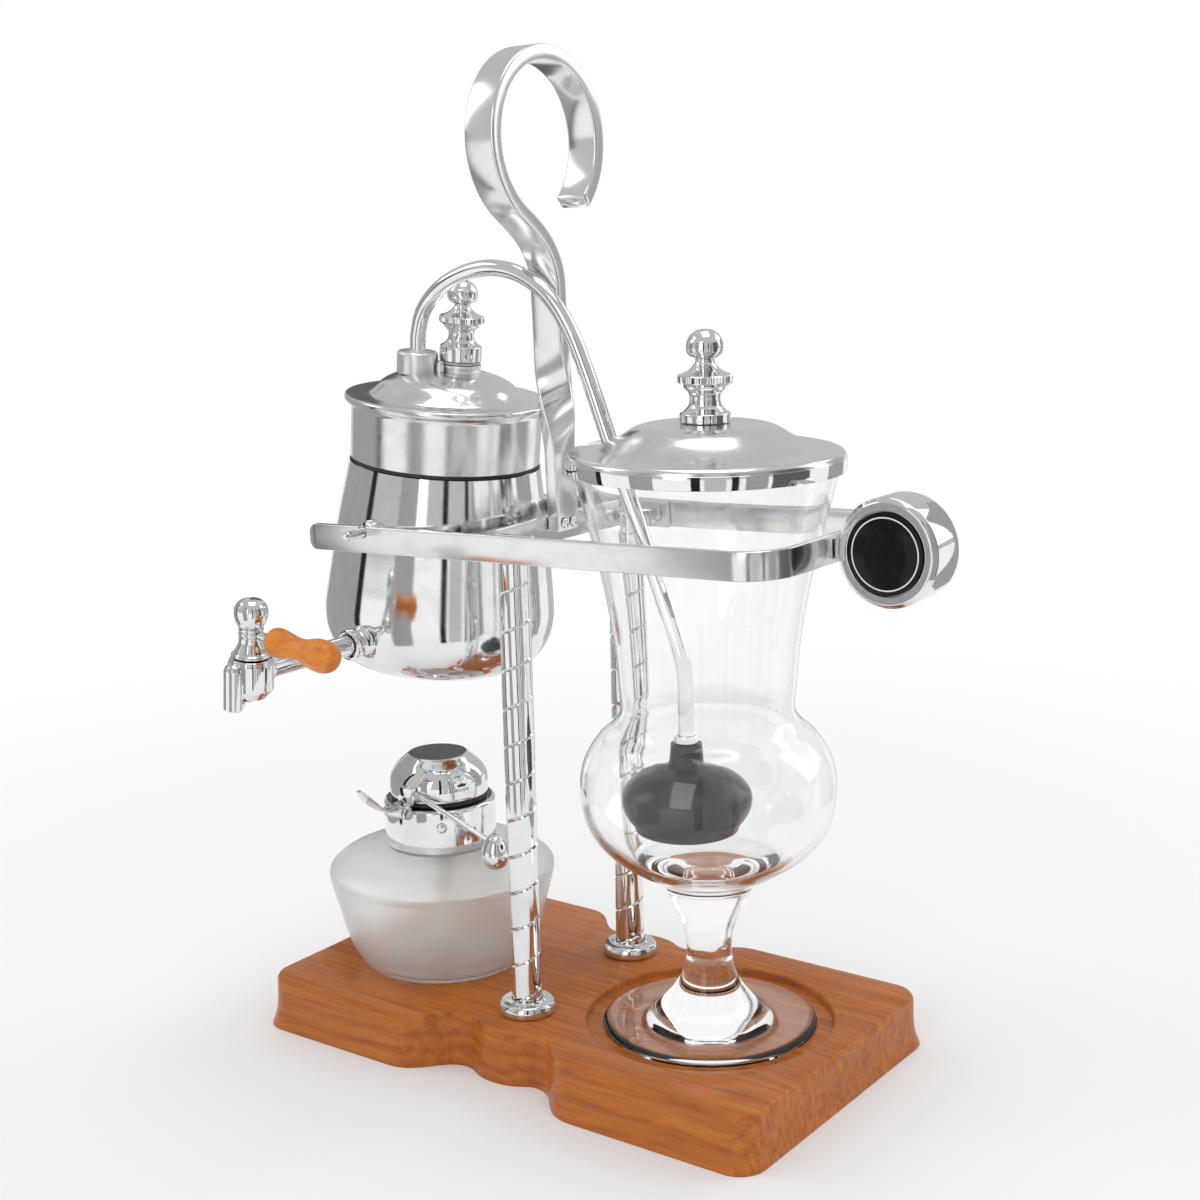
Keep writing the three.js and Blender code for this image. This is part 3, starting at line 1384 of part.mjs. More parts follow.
function makeFingerTab() {
  const plateFace = -(snufferRadius + gap);
  const plateLow = snufferBase + gap;
  const plateBody = block(
    point(hingeX - knuckleWidth / 2, plateFace - armPlateThickness, plateLow),
    point(hingeX + knuckleWidth / 2, plateFace + overrun, plateLow + armPlateHeight));
  const dome = turned([[0, plateLow - overrun], [snufferRadius + gap, plateLow - overrun],
    [snufferRadius + gap, plateLow + armPlateHeight + overrun],
    [0, plateLow + armPlateHeight + overrun]], bigSides);
  const strip = block(
    point(hingeX - knuckleWidth / 2, hingeY, hingeHeight + knuckleRadius - tabThickness),
    point(hingeX + knuckleWidth / 2, plateFace - armPlateThickness / 2, hingeHeight + knuckleRadius + gap));
  const knuckle = bar(point(hingeX - knuckleWidth / 2, hingeY, hingeHeight),
    point(hingeX + knuckleWidth / 2, hingeY, hingeHeight), knuckleRadius, holeSides);
  const startY = hingeY - knuckleRadius / 2;
  const startRise = hingeHeight + knuckleRadius - tabThickness;
  const rings = tabShares.map(([out, up, width]) => {
    const y = startY - out * tabReach;
    const z = startRise + up * tabRise;
    const half = (width * tabWidth) / 2;
    const upperY = y - tabThickness * up * tabCurlShare;
    const upperZ = z + tabThickness;
    return [point(hingeX - half, y, z), point(hingeX - half, upperY, upperZ),
      point(hingeX + half, upperY, upperZ), point(hingeX + half, y, z)];
  });
  const tab = loft(rings.reverse());
  const hole = bar(point(hingeX - knuckleWidth, hingeY, hingeHeight),
    point(hingeX + knuckleWidth, hingeY, hingeHeight), hingePinRadius + gap, smallSides);
  const body = add([plateBody.subtract(dome), strip, knuckle, tab]).subtract(hole);
  return piece("finger_tab", body, chrome);
}

function rodStart() {
  return point(hingeX + knuckleWidth / 2 + 2 * gap, -(snufferRadius + gap + armPlateThickness / 2),
    snufferBase + gap + armPlateHeight / 2 + leverRodRadius);
}

// Where the rod stops inside the weight, with some room short of it or beyond it.
function rodEnd(room) {
  const aim = point(eggX, eggY, eggRise + eggHeight / 5);
  const way = new THREE.Vector3().subVectors(aim, rodStart()).normalize();
  return aim.addScaledVector(way, room - eggRadius / 3);
}

function makeLeverRod() {
  return piece("lever_rod", bar(rodStart(), rodEnd(0), leverRodRadius, smallSides), steel);
}

// Egg-shaped weight: shares of its radius and height.
const eggShares = [[0, 0], [0.5, 0.05], [0.84, 0.2], [1, 0.4], [0.93, 0.62], [0.7, 0.83],
  [0.38, 0.96], [0, 1]];

function makeEgg() {
  const profile = profileOf(eggShares, eggRadius, eggHeight, eggRise - eggHeight / 2);
  let body = turned(profile, holeSides).translate([eggX, eggY, 0]);
  body = body.subtract(bar(rodStart(), rodEnd(gap), leverRodRadius + gap, smallSides));
  return piece("lever_weight", body, chrome);
}

// The whole object

const coffeeMaker = new THREE.Group();
coffeeMaker.add(makeBoard());
for (const [place, y] of [["front", -columnY], ["back", columnY]]) {
  coffeeMaker.add(makeColumn(`column_${place}`, y));
  coffeeMaker.add(makeCollar(`column_collar_${place}`, y));
  coffeeMaker.add(makeBolt(`column_bolt_${place}`, y));
  coffeeMaker.add(makeWasher(`column_washer_${place}`, y));
}

const beam = new THREE.Group();
beam.position.set(columnX, 0, pivotHeight);
beam.rotation.y = THREE.MathUtils.degToRad(beamTilt);
beam.add(makeBeam(), makeYoke());
for (const [place, side] of [["front", -1], ["back", 1]]) {
  beam.add(makePivotPin(`pivot_pin_${place}`, side));
  beam.add(makeYokeRivet(`yoke_rivet_${place}`, side));
  beam.add(makeStrapRivet(`strap_rivet_${place}`, side));
}
beam.add(makeStrap(), makeLug(), makeDrum(), makeWeightScrew());
beam.add(makeDisc("counterweight_disc", -1, blackGloss));
beam.add(makeDisc("counterweight_cap", 1, chrome));
coffeeMaker.add(beam);

const boiler = new THREE.Group();
boiler.position.copy(boilerPlace());
boiler.rotation.y = THREE.MathUtils.degToRad(boilerLean);
boiler.add(makeBoilerBody(), makeBoilerSeal(), makeBoilerLid());
boiler.add(makeTrunnion("trunnion_front", -1, frontPinLength));
boiler.add(makeTrunnion("trunnion_back", 1, frontPinLength));
boiler.add(makeFillerNeck(), makeFillerWasher(), makeFillerCap());
boiler.add(makeStopper(), makeStopperCap(), makeReliefPin());
boiler.add(makePipeNut(), makeTapPipe(), makeTapBody());
boiler.add(makeTapKey(), makeTapLever(), makeTapGrip());
coffeeMaker.add(boiler);

coffeeMaker.add(makeSiphonTube(), makeFilterHead(), makeFilterScreen(), makeFerrule());
coffeeMaker.add(makeGoblet(), makeGlassLid(), makeLidKnob(), makeLidNut());

const burner = new THREE.Group();
burner.position.set(burnerX, burnerY, 0);
burner.add(makeBottle(), makeBurnerCollar(), makeWickTube(), makeWick());
burner.add(makeHingeBracket(), makeHingePin());
burner.add(makeSnufferDome(), makeSnufferSeal(), makeFingerTab(), makeLeverRod(), makeEgg());
coffeeMaker.add(burner);

export default coffeeMaker;
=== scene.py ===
# %% [markdown]
# # A balancing siphon coffee maker
# A boiler hangs from one arm of a tilting beam, a counterweight sits on the other, and a thin
# tube leads the hot water over into a glass goblet. The solids that the part was designed with
# are loaded first and stay where they are. Most pieces below are finer meshes that stand in the
# place of one solid each, so the moving parts still move together with their solids.

import json
import math

import bmesh
import bpy
from mathutils import Matrix, Vector
from mathutils.geometry import interpolate_bezier


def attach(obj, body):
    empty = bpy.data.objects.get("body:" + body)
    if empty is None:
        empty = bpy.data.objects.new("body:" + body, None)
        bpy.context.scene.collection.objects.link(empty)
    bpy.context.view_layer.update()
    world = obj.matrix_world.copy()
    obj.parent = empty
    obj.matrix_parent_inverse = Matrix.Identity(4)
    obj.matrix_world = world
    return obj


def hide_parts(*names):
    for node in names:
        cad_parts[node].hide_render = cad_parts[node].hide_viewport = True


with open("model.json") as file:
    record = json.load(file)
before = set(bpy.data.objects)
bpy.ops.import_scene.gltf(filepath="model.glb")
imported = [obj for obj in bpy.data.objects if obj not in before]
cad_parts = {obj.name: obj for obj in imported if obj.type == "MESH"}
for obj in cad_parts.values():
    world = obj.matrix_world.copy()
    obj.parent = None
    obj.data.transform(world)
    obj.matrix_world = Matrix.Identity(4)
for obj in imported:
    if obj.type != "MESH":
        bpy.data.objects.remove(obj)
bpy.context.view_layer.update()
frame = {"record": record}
scene = bpy.context.scene
body_of = {n: body for body, names in frame["record"]["behaviour"]["bodies"].items() for n in names}

# %% [markdown]
# ## Where the pieces stand
# The drawings of the object are in millimetres, and Blender's scene is in metres, so each mesh is
# drawn in millimetres and shrunk once at the end. Tilted groups get a frame of their own: the
# beam leans a little, the boiler hangs at its own lean, and the tap has its line at the boiler's
# foot. A piece is drawn upright in its frame and then turned into place with one matrix.

# %% Frames of the groups
MM = 0.001


def turn(degrees, axis):
    return Matrix.Rotation(math.radians(degrees), 4, axis)


def shift(x, y, z):
    return Matrix.Translation((x, y, z))


HERE = Matrix.Identity(4)
BOARD_TOP = 22.4
COLUMN_X = -4.3
COLUMN_Y = 36.12
PIVOT_HEIGHT = 211.5
TAP_REACH = 107
BEAM = shift(COLUMN_X, 0, PIVOT_HEIGHT) @ turn(-2.2, "Y")
PIN_PLACE = BEAM @ Vector((-65.2, 0, 5.4))
BOILER = Matrix.Translation(PIN_PLACE) @ turn(5.5, "Y")
TAP_LINE = shift(0, 0, -45.5) @ turn(-91.3, "Z")
PIPE = BOILER @ TAP_LINE
TAP = PIPE @ shift(TAP_REACH, 0, 0)
BURNER = shift(-69.9, -9.6, 0)
GOBLET = shift(60, 0, 0)
print("boiler hangs at", [round(v, 1) for v in PIN_PLACE])

# %% [markdown]
# ## Lines to turn and bend
# Nearly every piece is turned on a lathe or bent from a bar. Both start from a line. A smooth
# line runs through a few points, and a rounded line keeps straight runs and eases each corner,
# because a real edge is never perfectly sharp and the small radius catches the light.

# %% Smooth and rounded lines
def smooth(points, steps=6):
    """Smooth line through the points, denser where they lie close together."""
    ends = [Vector(p) for p in points]
    ends = [2 * ends[0] - ends[1], *ends, 2 * ends[-1] - ends[-2]]
    line = []
    for a, b, c, d in zip(ends, ends[1:], ends[2:], ends[3:]):
        knots = [0.0]
        for start, end in ((a, b), (b, c), (c, d)):
            knots.append(knots[-1] + max((end - start).length, 1e-6) ** 0.5)
        t0, t1, t2, t3 = knots
        for i in range(steps):
            t = t1 + (t2 - t1) * i / steps
            ab = a.lerp(b, (t - t0) / (t1 - t0))
            bc = b.lerp(c, (t - t1) / (t2 - t1))
            cd = c.lerp(d, (t - t2) / (t3 - t2))
            abc = ab.lerp(bc, (t - t0) / (t2 - t0))
            bcd = bc.lerp(cd, (t - t1) / (t3 - t1))
            line.append(abc.lerp(bcd, (t - t1) / (t2 - t1)))
    line.append(ends[-2])
    return line


def rounded(points, radius=0.5, steps=3, closed=False):
    """The same corners, each one eased by the radius or by less where the runs are short."""
    corners = [Vector(p) for p in points]
    if closed:
        corners = [corners[-1], *corners, corners[0]]
    line = [] if closed else [corners[0]]
    for a, b, c in zip(corners, corners[1:], corners[2:]):
        cut = min(radius, (a - b).length * 0.48, (c - b).length * 0.48)
        start = b + (a - b).normalized() * cut
        end = b + (c - b).normalized() * cut
        for i in range(steps + 1):
            t = i / steps
            line.append(start.lerp(b, t).lerp(b.lerp(end, t), t))
    return line if closed else [*line, corners[-1]]


def scaled(shares, radius, height, base=0.0):
    """Shares of a radius and a height, standing on a base height."""
    return [Vector((across * radius, base + up * height)) for across, up in shares]


def inside(line, wall):
    """The line moved inwards by a wall's thickness, run backwards to close a shell."""
    moved = []
    for i, spot in enumerate(line):
        way = line[min(i + 1, len(line) - 1)] - line[max(i - 1, 0)]
        way = way.normalized() if way.length > 1e-9 else Vector((0, 1))
        radius = 0 if spot.x < 1e-6 else max(spot.x - wall * way.y, 0)
        moved.append(Vector((radius, spot.y + wall * way.x)))
    return moved[::-1]


print("a corner eased in", len(rounded([(0, 0), (1, 0), (1, 1)])), "points")

# %% [markdown]
# ## From a line to a mesh
# A lathe piece is the line spun once about the Z axis. A bent bar is a cross-section carried
# along a path and bridged from station to station. Both use bmesh operators, which keep the
# mesh in even rings, and the poles on the axis are merged afterwards.

# %% Lathe, sweep and cut
SIDES = 96
FINE_SIDES = 144
SMALL_SIDES = 32
WELD = 1e-4


def lathe(line, steps=SIDES, ring=False):
    """Line of (radius, height) spun about Z. A ring's line is closed on itself."""
    bm = bmesh.new()
    verts = [bm.verts.new((spot[0], 0, spot[1])) for spot in line]
    edges = [bm.edges.new(pair) for pair in zip(verts, verts[1:])]
    if ring:
        edges.append(bm.edges.new((verts[-1], verts[0])))
    bmesh.ops.spin(bm, geom=verts + edges, cent=(0, 0, 0), axis=(0, 0, 1),
                   angle=math.tau, steps=steps, use_merge=True)
    return tidy(bm)


def tidy(bm):
    """Merges doubled corners, drops faces without area and turns the rest outwards."""
    bmesh.ops.remove_doubles(bm, verts=bm.verts, dist=WELD)
    bmesh.ops.dissolve_degenerate(bm, edges=bm.edges, dist=WELD)
    bmesh.ops.recalc_face_normals(bm, faces=bm.faces)
    return bm


def loop_of(bm, places):
    """Closed loop of edges through the places."""
    verts = [bm.verts.new(place) for place in places]
    return [bm.edges.new((a, b)) for a, b in zip(verts, verts[1:] + verts[:1])]


def sweep(stations, section):
    """Section carried along stations of (place, across, up), with a face at each end."""
    bm = bmesh.new()
    loops = [loop_of(bm, [place + across * x + up * y for x, y in section])
             for place, across, up in stations]
    for near, far in zip(loops, loops[1:]):
        bmesh.ops.bridge_loops(bm, edges=near + far)
    for end in (loops[0], loops[-1]):
        bmesh.ops.edgeloop_fill(bm, edges=end)
    return tidy(bm)


def joined(*parts):
    """Several meshes as one."""
    whole = bmesh.new()
    for part in parts:
        mesh = bpy.data.meshes.new("part")
        part.to_mesh(mesh)
        part.free()
        whole.from_mesh(mesh)
        bpy.data.meshes.remove(mesh)
    return whole


def moved(bm, place):
    bmesh.ops.transform(bm, matrix=place, verts=bm.verts)
    return bm


def cut(bm, *cutters):
    """The mesh with the cutters' shapes taken out of it."""
    made = []
    for shape in (bm, *cutters):
        mesh = bpy.data.meshes.new("cut")
        shape.to_mesh(mesh)
        shape.free()
        made.append(bpy.data.objects.new("cut", mesh))
        scene.collection.objects.link(made[-1])
    target = made[0]
    for cutter in made[1:]:
        modifier = target.modifiers.new("cut", "BOOLEAN")
        modifier.operation = "DIFFERENCE"
        modifier.solver = "EXACT"
        modifier.object = cutter
    shape = target.evaluated_get(bpy.context.evaluated_depsgraph_get())
    result = bmesh.new()
    result.from_mesh(shape.to_mesh())
    shape.to_mesh_clear()
    for obj in made:
        mesh = obj.data
        bpy.data.objects.remove(obj)
        bpy.data.meshes.remove(mesh)
    return result


def rod(low, high, radius, ease=0.3, steps=SMALL_SIDES, end_radius=None):
    """Round bar on Z from one height to another, with eased rims."""
    far = radius if end_radius is None else end_radius
    return lathe(rounded([(0, low), (radius, low), (far, high), (0, high)], ease), steps)


def tube(inner, outer, low, high, ease=0.3, steps=SIDES):
    corners = [(inner, low), (outer, low), (outer, high), (inner, high)]
    return lathe(rounded(corners, ease, closed=True), steps, ring=True)


def slab(low, high, ease=0.3, steps=3):
    """Box between two corners, with all its edges eased."""
    bm = bmesh.new()
    bmesh.ops.create_cube(bm, size=1)
    size = Vector(high) - Vector(low)
    bmesh.ops.scale(bm, vec=size, verts=bm.verts)
    bmesh.ops.translate(bm, vec=(Vector(high) + Vector(low)) / 2, verts=bm.verts)
    if ease:
        bmesh.ops.bevel(bm, geom=bm.edges[:], offset=ease, segments=steps, profile=0.5,
                        affect="EDGES", material=-1)
    return bm


def between(start, end):
    """Frame that stands Z along the way from one point to another, and the way's length."""
    way = Vector(end) - Vector(start)
    return Matrix.Translation(start) @ way.to_track_quat("Z", "Y").to_matrix().to_4x4(), way.length


print("a lathe ring has", len(tube(1, 2, 0, 1).faces), "faces")

# %% [markdown]
# ## Finishes
# The metal is bright chrome on a polished base. Its look is almost all reflection, so the
# material itself needs little: a pale, slightly uneven colour, a low roughness that rises a bit in
# faint smears, and hairline scratches in the normal. These effects are wanted on every metal, so
# they are node groups with inputs for scale and strength, built once and placed in each
# material with its own values.

# %% Helpers for node trees
def node(tree, kind, inputs=(), **settings):
    made = tree.nodes.new(kind)
    for name, value in settings.items():
        setattr(made, name, value)
    for name, value in dict(inputs).items():
        if isinstance(value, bpy.types.NodeSocket):
            tree.links.new(value, made.inputs[name])
        else:
            made.inputs[name].default_value = value
    return made


def group(name, inputs, outputs):
    """Node group with float or vector inputs and outputs, each given as (name, kind, value)."""
    tree = bpy.data.node_groups.new(name, "ShaderNodeTree")
    for label, kind, value in inputs:
        socket = tree.interface.new_socket(name=label, in_out="INPUT", socket_type=kind)
        socket.default_value = value
    for label, kind in outputs:
        tree.interface.new_socket(name=label, in_out="OUTPUT", socket_type=kind)
    return tree, tree.nodes.new("NodeGroupInput"), tree.nodes.new("NodeGroupOutput")


def use(tree, made, inputs=()):
    """Places a node group in a tree."""
    placed = tree.nodes.new("ShaderNodeGroup")
    placed.node_tree = made
    for name, value in dict(inputs).items():
        if isinstance(value, bpy.types.NodeSocket):
            tree.links.new(value, placed.inputs[name])
        else:
            placed.inputs[name].default_value = value
    return placed


def math_node(tree, operation, first, second=0.0, third=0.0):
    made = node(tree, "ShaderNodeMath", operation=operation)
    for i, value in enumerate((first, second, third)):
        if isinstance(value, bpy.types.NodeSocket):
            tree.links.new(value, made.inputs[i])
        else:
            made.inputs[i].default_value = value
    return made.outputs[0]


FLOAT, VECTOR, COLOR = "NodeSocketFloat", "NodeSocketVector", "NodeSocketColor"

# %% Group: handling wear
# Faint smears, a few specks and hairline scratches, as one mask, one roughness and one height.
wear, wear_in, wear_out = group(
    "Handling wear",
    [("Vector", VECTOR, (0, 0, 0)), ("Smooth", FLOAT, 0.05), ("Smeared", FLOAT, 0.14),
     ("Scale", FLOAT, 60.0)],
    [("Mask", FLOAT), ("Roughness", FLOAT), ("Height", FLOAT)])
broad = node(wear, "ShaderNodeTexNoise",
             {"Vector": wear_in.outputs["Vector"], "Scale": wear_in.outputs["Scale"],
              "Detail": 5.0, "Roughness": 0.62, "Distortion": 0.6})
smear = node(wear, "ShaderNodeMapRange",
             {"Value": broad.outputs["Fac"], "From Min": 0.46, "From Max": 0.78})
streaks = node(wear, "ShaderNodeMapping",
               {"Vector": wear_in.outputs["Vector"], "Rotation": (0.4, 0.3, 0.7),
                "Scale": (260.0, 2600.0, 900.0)})
hair = node(wear, "ShaderNodeTexNoise",
            {"Vector": streaks.outputs["Vector"], "Scale": 1.0, "Detail": 3.0, "Roughness": 0.7})
fine = node(wear, "ShaderNodeTexNoise",
            {"Vector": wear_in.outputs["Vector"], "Scale": 900.0, "Detail": 2.0})
height = math_node(wear, "MULTIPLY_ADD", hair.outputs["Fac"], 0.6,
                   math_node(wear, "MULTIPLY", fine.outputs["Fac"], 0.4))
rough = node(wear, "ShaderNodeMapRange",
             {"Value": smear.outputs["Result"], "To Min": wear_in.outputs["Smooth"],
              "To Max": wear_in.outputs["Smeared"]})
wear.links.new(smear.outputs["Result"], wear_out.inputs["Mask"])
wear.links.new(rough.outputs["Result"], wear_out.inputs["Roughness"])
wear.links.new(height, wear_out.inputs["Height"])
print("group", wear.name)

# %% Group: turning marks
# Fine rings about the piece's own axis, as a lathe or a polishing wheel leaves them.
rings, rings_in, rings_out = group(
    "Turning marks", [("Vector", VECTOR, (0, 0, 0)), ("Scale", FLOAT, 900.0)],
    [("Height", FLOAT), ("Mask", FLOAT)])
parts = node(rings, "ShaderNodeSeparateXYZ", {"Vector": rings_in.outputs["Vector"]})
flat = node(rings, "ShaderNodeCombineXYZ",
            {"X": parts.outputs["X"], "Y": parts.outputs["Y"]})
reach = node(rings, "ShaderNodeVectorMath", {0: flat.outputs["Vector"]}, operation="LENGTH")
spread = math_node(rings, "ADD", reach.outputs["Value"],
                   math_node(rings, "MULTIPLY", parts.outputs["Z"], 1.3))
lines = node(rings, "ShaderNodeTexNoise",
             {"W": spread, "Scale": rings_in.outputs["Scale"], "Detail": 4.0, "Roughness": 0.75},
             noise_dimensions="1D")
bands = node(rings, "ShaderNodeTexNoise", {"W": spread, "Scale": 160.0, "Detail": 2.0},
             noise_dimensions="1D")
rings.links.new(lines.outputs["Fac"], rings_out.inputs["Height"])
rings.links.new(bands.outputs["Fac"], rings_out.inputs["Mask"])
print("group", rings.name)

# %% Bright metals
def material(name):
    made = bpy.data.materials.new(name)
    made.use_nodes = True
    tree = made.node_tree
    shader = tree.nodes["Principled BSDF"]
    place = node(tree, "ShaderNodeTexCoord")
    return made, tree, shader, place.outputs["Object"]


def mixed(tree, amount, low, high):
    """Colour between two colours, by an amount that changes over the surface."""
    mix = node(tree, "ShaderNodeMix", data_type="RGBA")
    tree.links.new(amount, mix.inputs[0])
    mix.inputs[6].default_value = (*low, 1)
    mix.inputs[7].default_value = (*high, 1)
    return mix.outputs[2]


def own_place(tree, spot, place):
    """Coordinates of the piece's own frame, in metres, with its axis on Z."""
    where = node(tree, "ShaderNodeMapping",
                 {"Vector": spot, "Location": place.translation * MM,
                  "Rotation": place.to_euler()}, vector_type="TEXTURE")
    return where.outputs["Vector"]


def metal(name, pale, dull, smooth_at, smeared_at, scratch, place=None, marks=0.0, scale=60.0):
    made, tree, shader, spot = material(name)
    local = spot if place is None else own_place(tree, spot, place)
    worn = use(tree, wear, {"Vector": local, "Smooth": smooth_at, "Smeared": smeared_at,
                            "Scale": scale})
    tree.links.new(mixed(tree, worn.outputs["Mask"], pale, dull), shader.inputs["Base Color"])
    tree.links.new(worn.outputs["Roughness"], shader.inputs["Roughness"])
    shader.inputs["Metallic"].default_value = 1
    bump = node(tree, "ShaderNodeBump",
                {"Height": worn.outputs["Height"], "Strength": scratch, "Distance": 0.0001})
    if marks:
        turned = use(tree, rings, {"Vector": local, "Scale": 2400.0})
        bump = node(tree, "ShaderNodeBump",
                    {"Height": turned.outputs["Height"], "Strength": marks, "Distance": 0.0001,
                     "Normal": bump.outputs["Normal"]})
    tree.links.new(bump.outputs["Normal"], shader.inputs["Normal"])
    return made


CHROME_PALE, CHROME_DULL = (0.86, 0.865, 0.87), (0.74, 0.745, 0.75)
LID = BOILER @ shift(0, 0, 24.6)
chrome = metal("bright chrome", CHROME_PALE, CHROME_DULL, 0.035, 0.11, 0.05)
beam_chrome = metal("chromed flat bar", (0.84, 0.845, 0.85), (0.76, 0.765, 0.77), 0.17, 0.27, 0.07, scale=40.0)
boiler_chrome = metal("polished boiler", CHROME_PALE, CHROME_DULL, 0.05, 0.12, 0.04,
                      place=BOILER, marks=0.05)
boiler_lid_metal = metal("brushed boiler lid", (0.84, 0.845, 0.85), (0.72, 0.725, 0.73), 0.13, 0.26,
                         0.05, place=LID, marks=0.16)
goblet_lid_metal = metal("brushed goblet lid", (0.85, 0.855, 0.86), (0.76, 0.765, 0.77), 0.16, 0.27,
                         0.05, place=GOBLET, marks=0.16)
plain_steel = metal("plain steel", (0.62, 0.625, 0.63), (0.46, 0.46, 0.465), 0.22, 0.4, 0.2)
print("metals:", [m.name for m in bpy.data.materials if m.users == 0][:8])

# %% [markdown]
# ## Wood
# The board is stained orange brown and varnished. Its grain runs along X, with darker
# pores drawn out along it and a small knot near one corner. The varnish is a clear coat over the
# wood: the coat gives the sharp reflections and the wood below stays soft.

# %% Group: wood grain
grain, grain_in, grain_out = group(
    "Wood grain",
    [("Vector", VECTOR, (0, 0, 0)), ("Scale", FLOAT, 1.0), ("Knot", VECTOR, (0.105, -0.05, 0.02))],
    [("Bands", FLOAT), ("Pores", FLOAT), ("Clouds", FLOAT), ("Knot", FLOAT), ("Height", FLOAT)])
to_knot = node(grain, "ShaderNodeVectorMath",
               {0: grain_in.outputs["Vector"], 1: grain_in.outputs["Knot"]}, operation="DISTANCE")
knot_mask = node(grain, "ShaderNodeMapRange",
                 {"Value": to_knot.outputs["Value"], "From Min": 0.002, "From Max": 0.011,
                  "To Min": 1.0, "To Max": 0.0}, interpolation_type="SMOOTHSTEP")
sway = node(grain, "ShaderNodeTexNoise",
            {"Vector": grain_in.outputs["Vector"], "Scale": 7.0, "Detail": 2.0})
pushed = node(grain, "ShaderNodeVectorMath",
              {0: sway.outputs["Color"], 1: (0.01, 0.014, 0.01), 2: grain_in.outputs["Vector"]},
              operation="MULTIPLY_ADD")
drawn = node(grain, "ShaderNodeMapping",
             {"Vector": pushed.outputs["Vector"], "Scale": (0.035, 1.0, 0.8)})
figure = node(grain, "ShaderNodeTexNoise",
              {"Vector": drawn.outputs["Vector"], "Scale": 380.0, "Detail": 6.0,
               "Roughness": 0.6, "Distortion": 0.15})
long_pores = node(grain, "ShaderNodeMapping",
                  {"Vector": pushed.outputs["Vector"], "Scale": (70.0, 1500.0, 1500.0)})
pores = node(grain, "ShaderNodeTexNoise",
             {"Vector": long_pores.outputs["Vector"], "Scale": 1.0, "Detail": 2.0})
pore_mask = node(grain, "ShaderNodeMapRange",
                 {"Value": pores.outputs["Fac"], "From Min": 0.56, "From Max": 0.74})
clouds = node(grain, "ShaderNodeTexNoise",
              {"Vector": grain_in.outputs["Vector"], "Scale": 22.0, "Detail": 3.0})
grain.links.new(figure.outputs["Fac"], grain_out.inputs["Bands"])
grain.links.new(pore_mask.outputs["Result"], grain_out.inputs["Pores"])
grain.links.new(clouds.outputs["Fac"], grain_out.inputs["Clouds"])
grain.links.new(knot_mask.outputs["Result"], grain_out.inputs["Knot"])
grain.links.new(math_node(grain, "MULTIPLY_ADD", pore_mask.outputs["Result"], -0.6,
                          figure.outputs["Fac"]), grain_out.inputs["Height"])
print("group", grain.name)


# %% Board and grip
def wooden(name, dark, middle, light, knot, roughness, coat):
    made, tree, shader, spot = material(name)
    wood = use(tree, grain, {"Vector": spot, "Knot": knot})
    ramp = node(tree, "ShaderNodeValToRGB")
    tree.links.new(wood.outputs["Bands"], ramp.inputs["Fac"])
    ramp.color_ramp.elements[0].position = 0.3
    ramp.color_ramp.elements[0].color = (*dark, 1)
    ramp.color_ramp.elements[1].position = 0.72
    ramp.color_ramp.elements[1].color = (*light, 1)
    ramp.color_ramp.elements.new(0.5).color = (*middle, 1)
    shade = math_node(tree, "MULTIPLY_ADD", wood.outputs["Pores"], -0.25,
                      math_node(tree, "MULTIPLY_ADD", wood.outputs["Clouds"], 0.5, 0.78))
    shade = math_node(tree, "MULTIPLY_ADD", wood.outputs["Knot"], -0.12, shade)
    colour = node(tree, "ShaderNodeMix", data_type="RGBA", blend_type="MULTIPLY")
    colour.inputs[0].default_value = 1
    tree.links.new(ramp.outputs["Color"], colour.inputs[6])
    tree.links.new(shade, colour.inputs[7])
    tree.links.new(colour.outputs[2], shader.inputs["Base Color"])
    rough_wood = node(tree, "ShaderNodeMapRange",
                      {"Value": wood.outputs["Bands"], "To Min": roughness, "To Max": roughness + 0.12})
    tree.links.new(rough_wood.outputs["Result"], shader.inputs["Roughness"])
    shader.inputs["Coat Weight"].default_value = coat
    shader.inputs["Coat Roughness"].default_value = 0.06
    shader.inputs["Specular IOR Level"].default_value = 0.3
    bump = node(tree, "ShaderNodeBump",
                {"Height": wood.outputs["Height"], "Strength": 0.12, "Distance": 0.0004})
    tree.links.new(bump.outputs["Normal"], shader.inputs["Normal"])
    return made


board_wood = wooden("varnished board", (0.3, 0.075, 0.009), (0.44, 0.12, 0.013),
                    (0.54, 0.17, 0.022), (0.108, -0.052, 0.02), 0.36, 0.22)
grip_wood = wooden("orange grip", (0.46, 0.13, 0.012), (0.62, 0.2, 0.022), (0.72, 0.26, 0.04),
                   (0, 0, 1), 0.34, 0.25)
print("woods:", board_wood.name, "and", grip_wood.name)

# %% [markdown]
# ## Glass, rubber and the other small finishes
# The goblet is clear blown glass, so its shader is fully see-through with a real wall modelled
# inside it. Light rays that only ask whether a spot is in shade pass through almost freely, which
# gives the light shadow that thin glass has. The spirit bottle is etched: the same glass, but
# rough, with a fine grain and a milky share of plain scattering.

# %% Clear and etched glass
def clear_shadow(tree, shader, tint):
    """Lets most of the light through to what lies in the glass's shade."""
    ray = node(tree, "ShaderNodeLightPath")
    open_glass = node(tree, "ShaderNodeBsdfTransparent", {"Color": (*tint, 1)})
    mix = node(tree, "ShaderNodeMixShader", {0: ray.outputs["Is Shadow Ray"]})
    tree.links.new(shader.outputs[0], mix.inputs[1])
    tree.links.new(open_glass.outputs[0], mix.inputs[2])
    tree.links.new(mix.outputs[0], tree.nodes["Material Output"].inputs["Surface"])


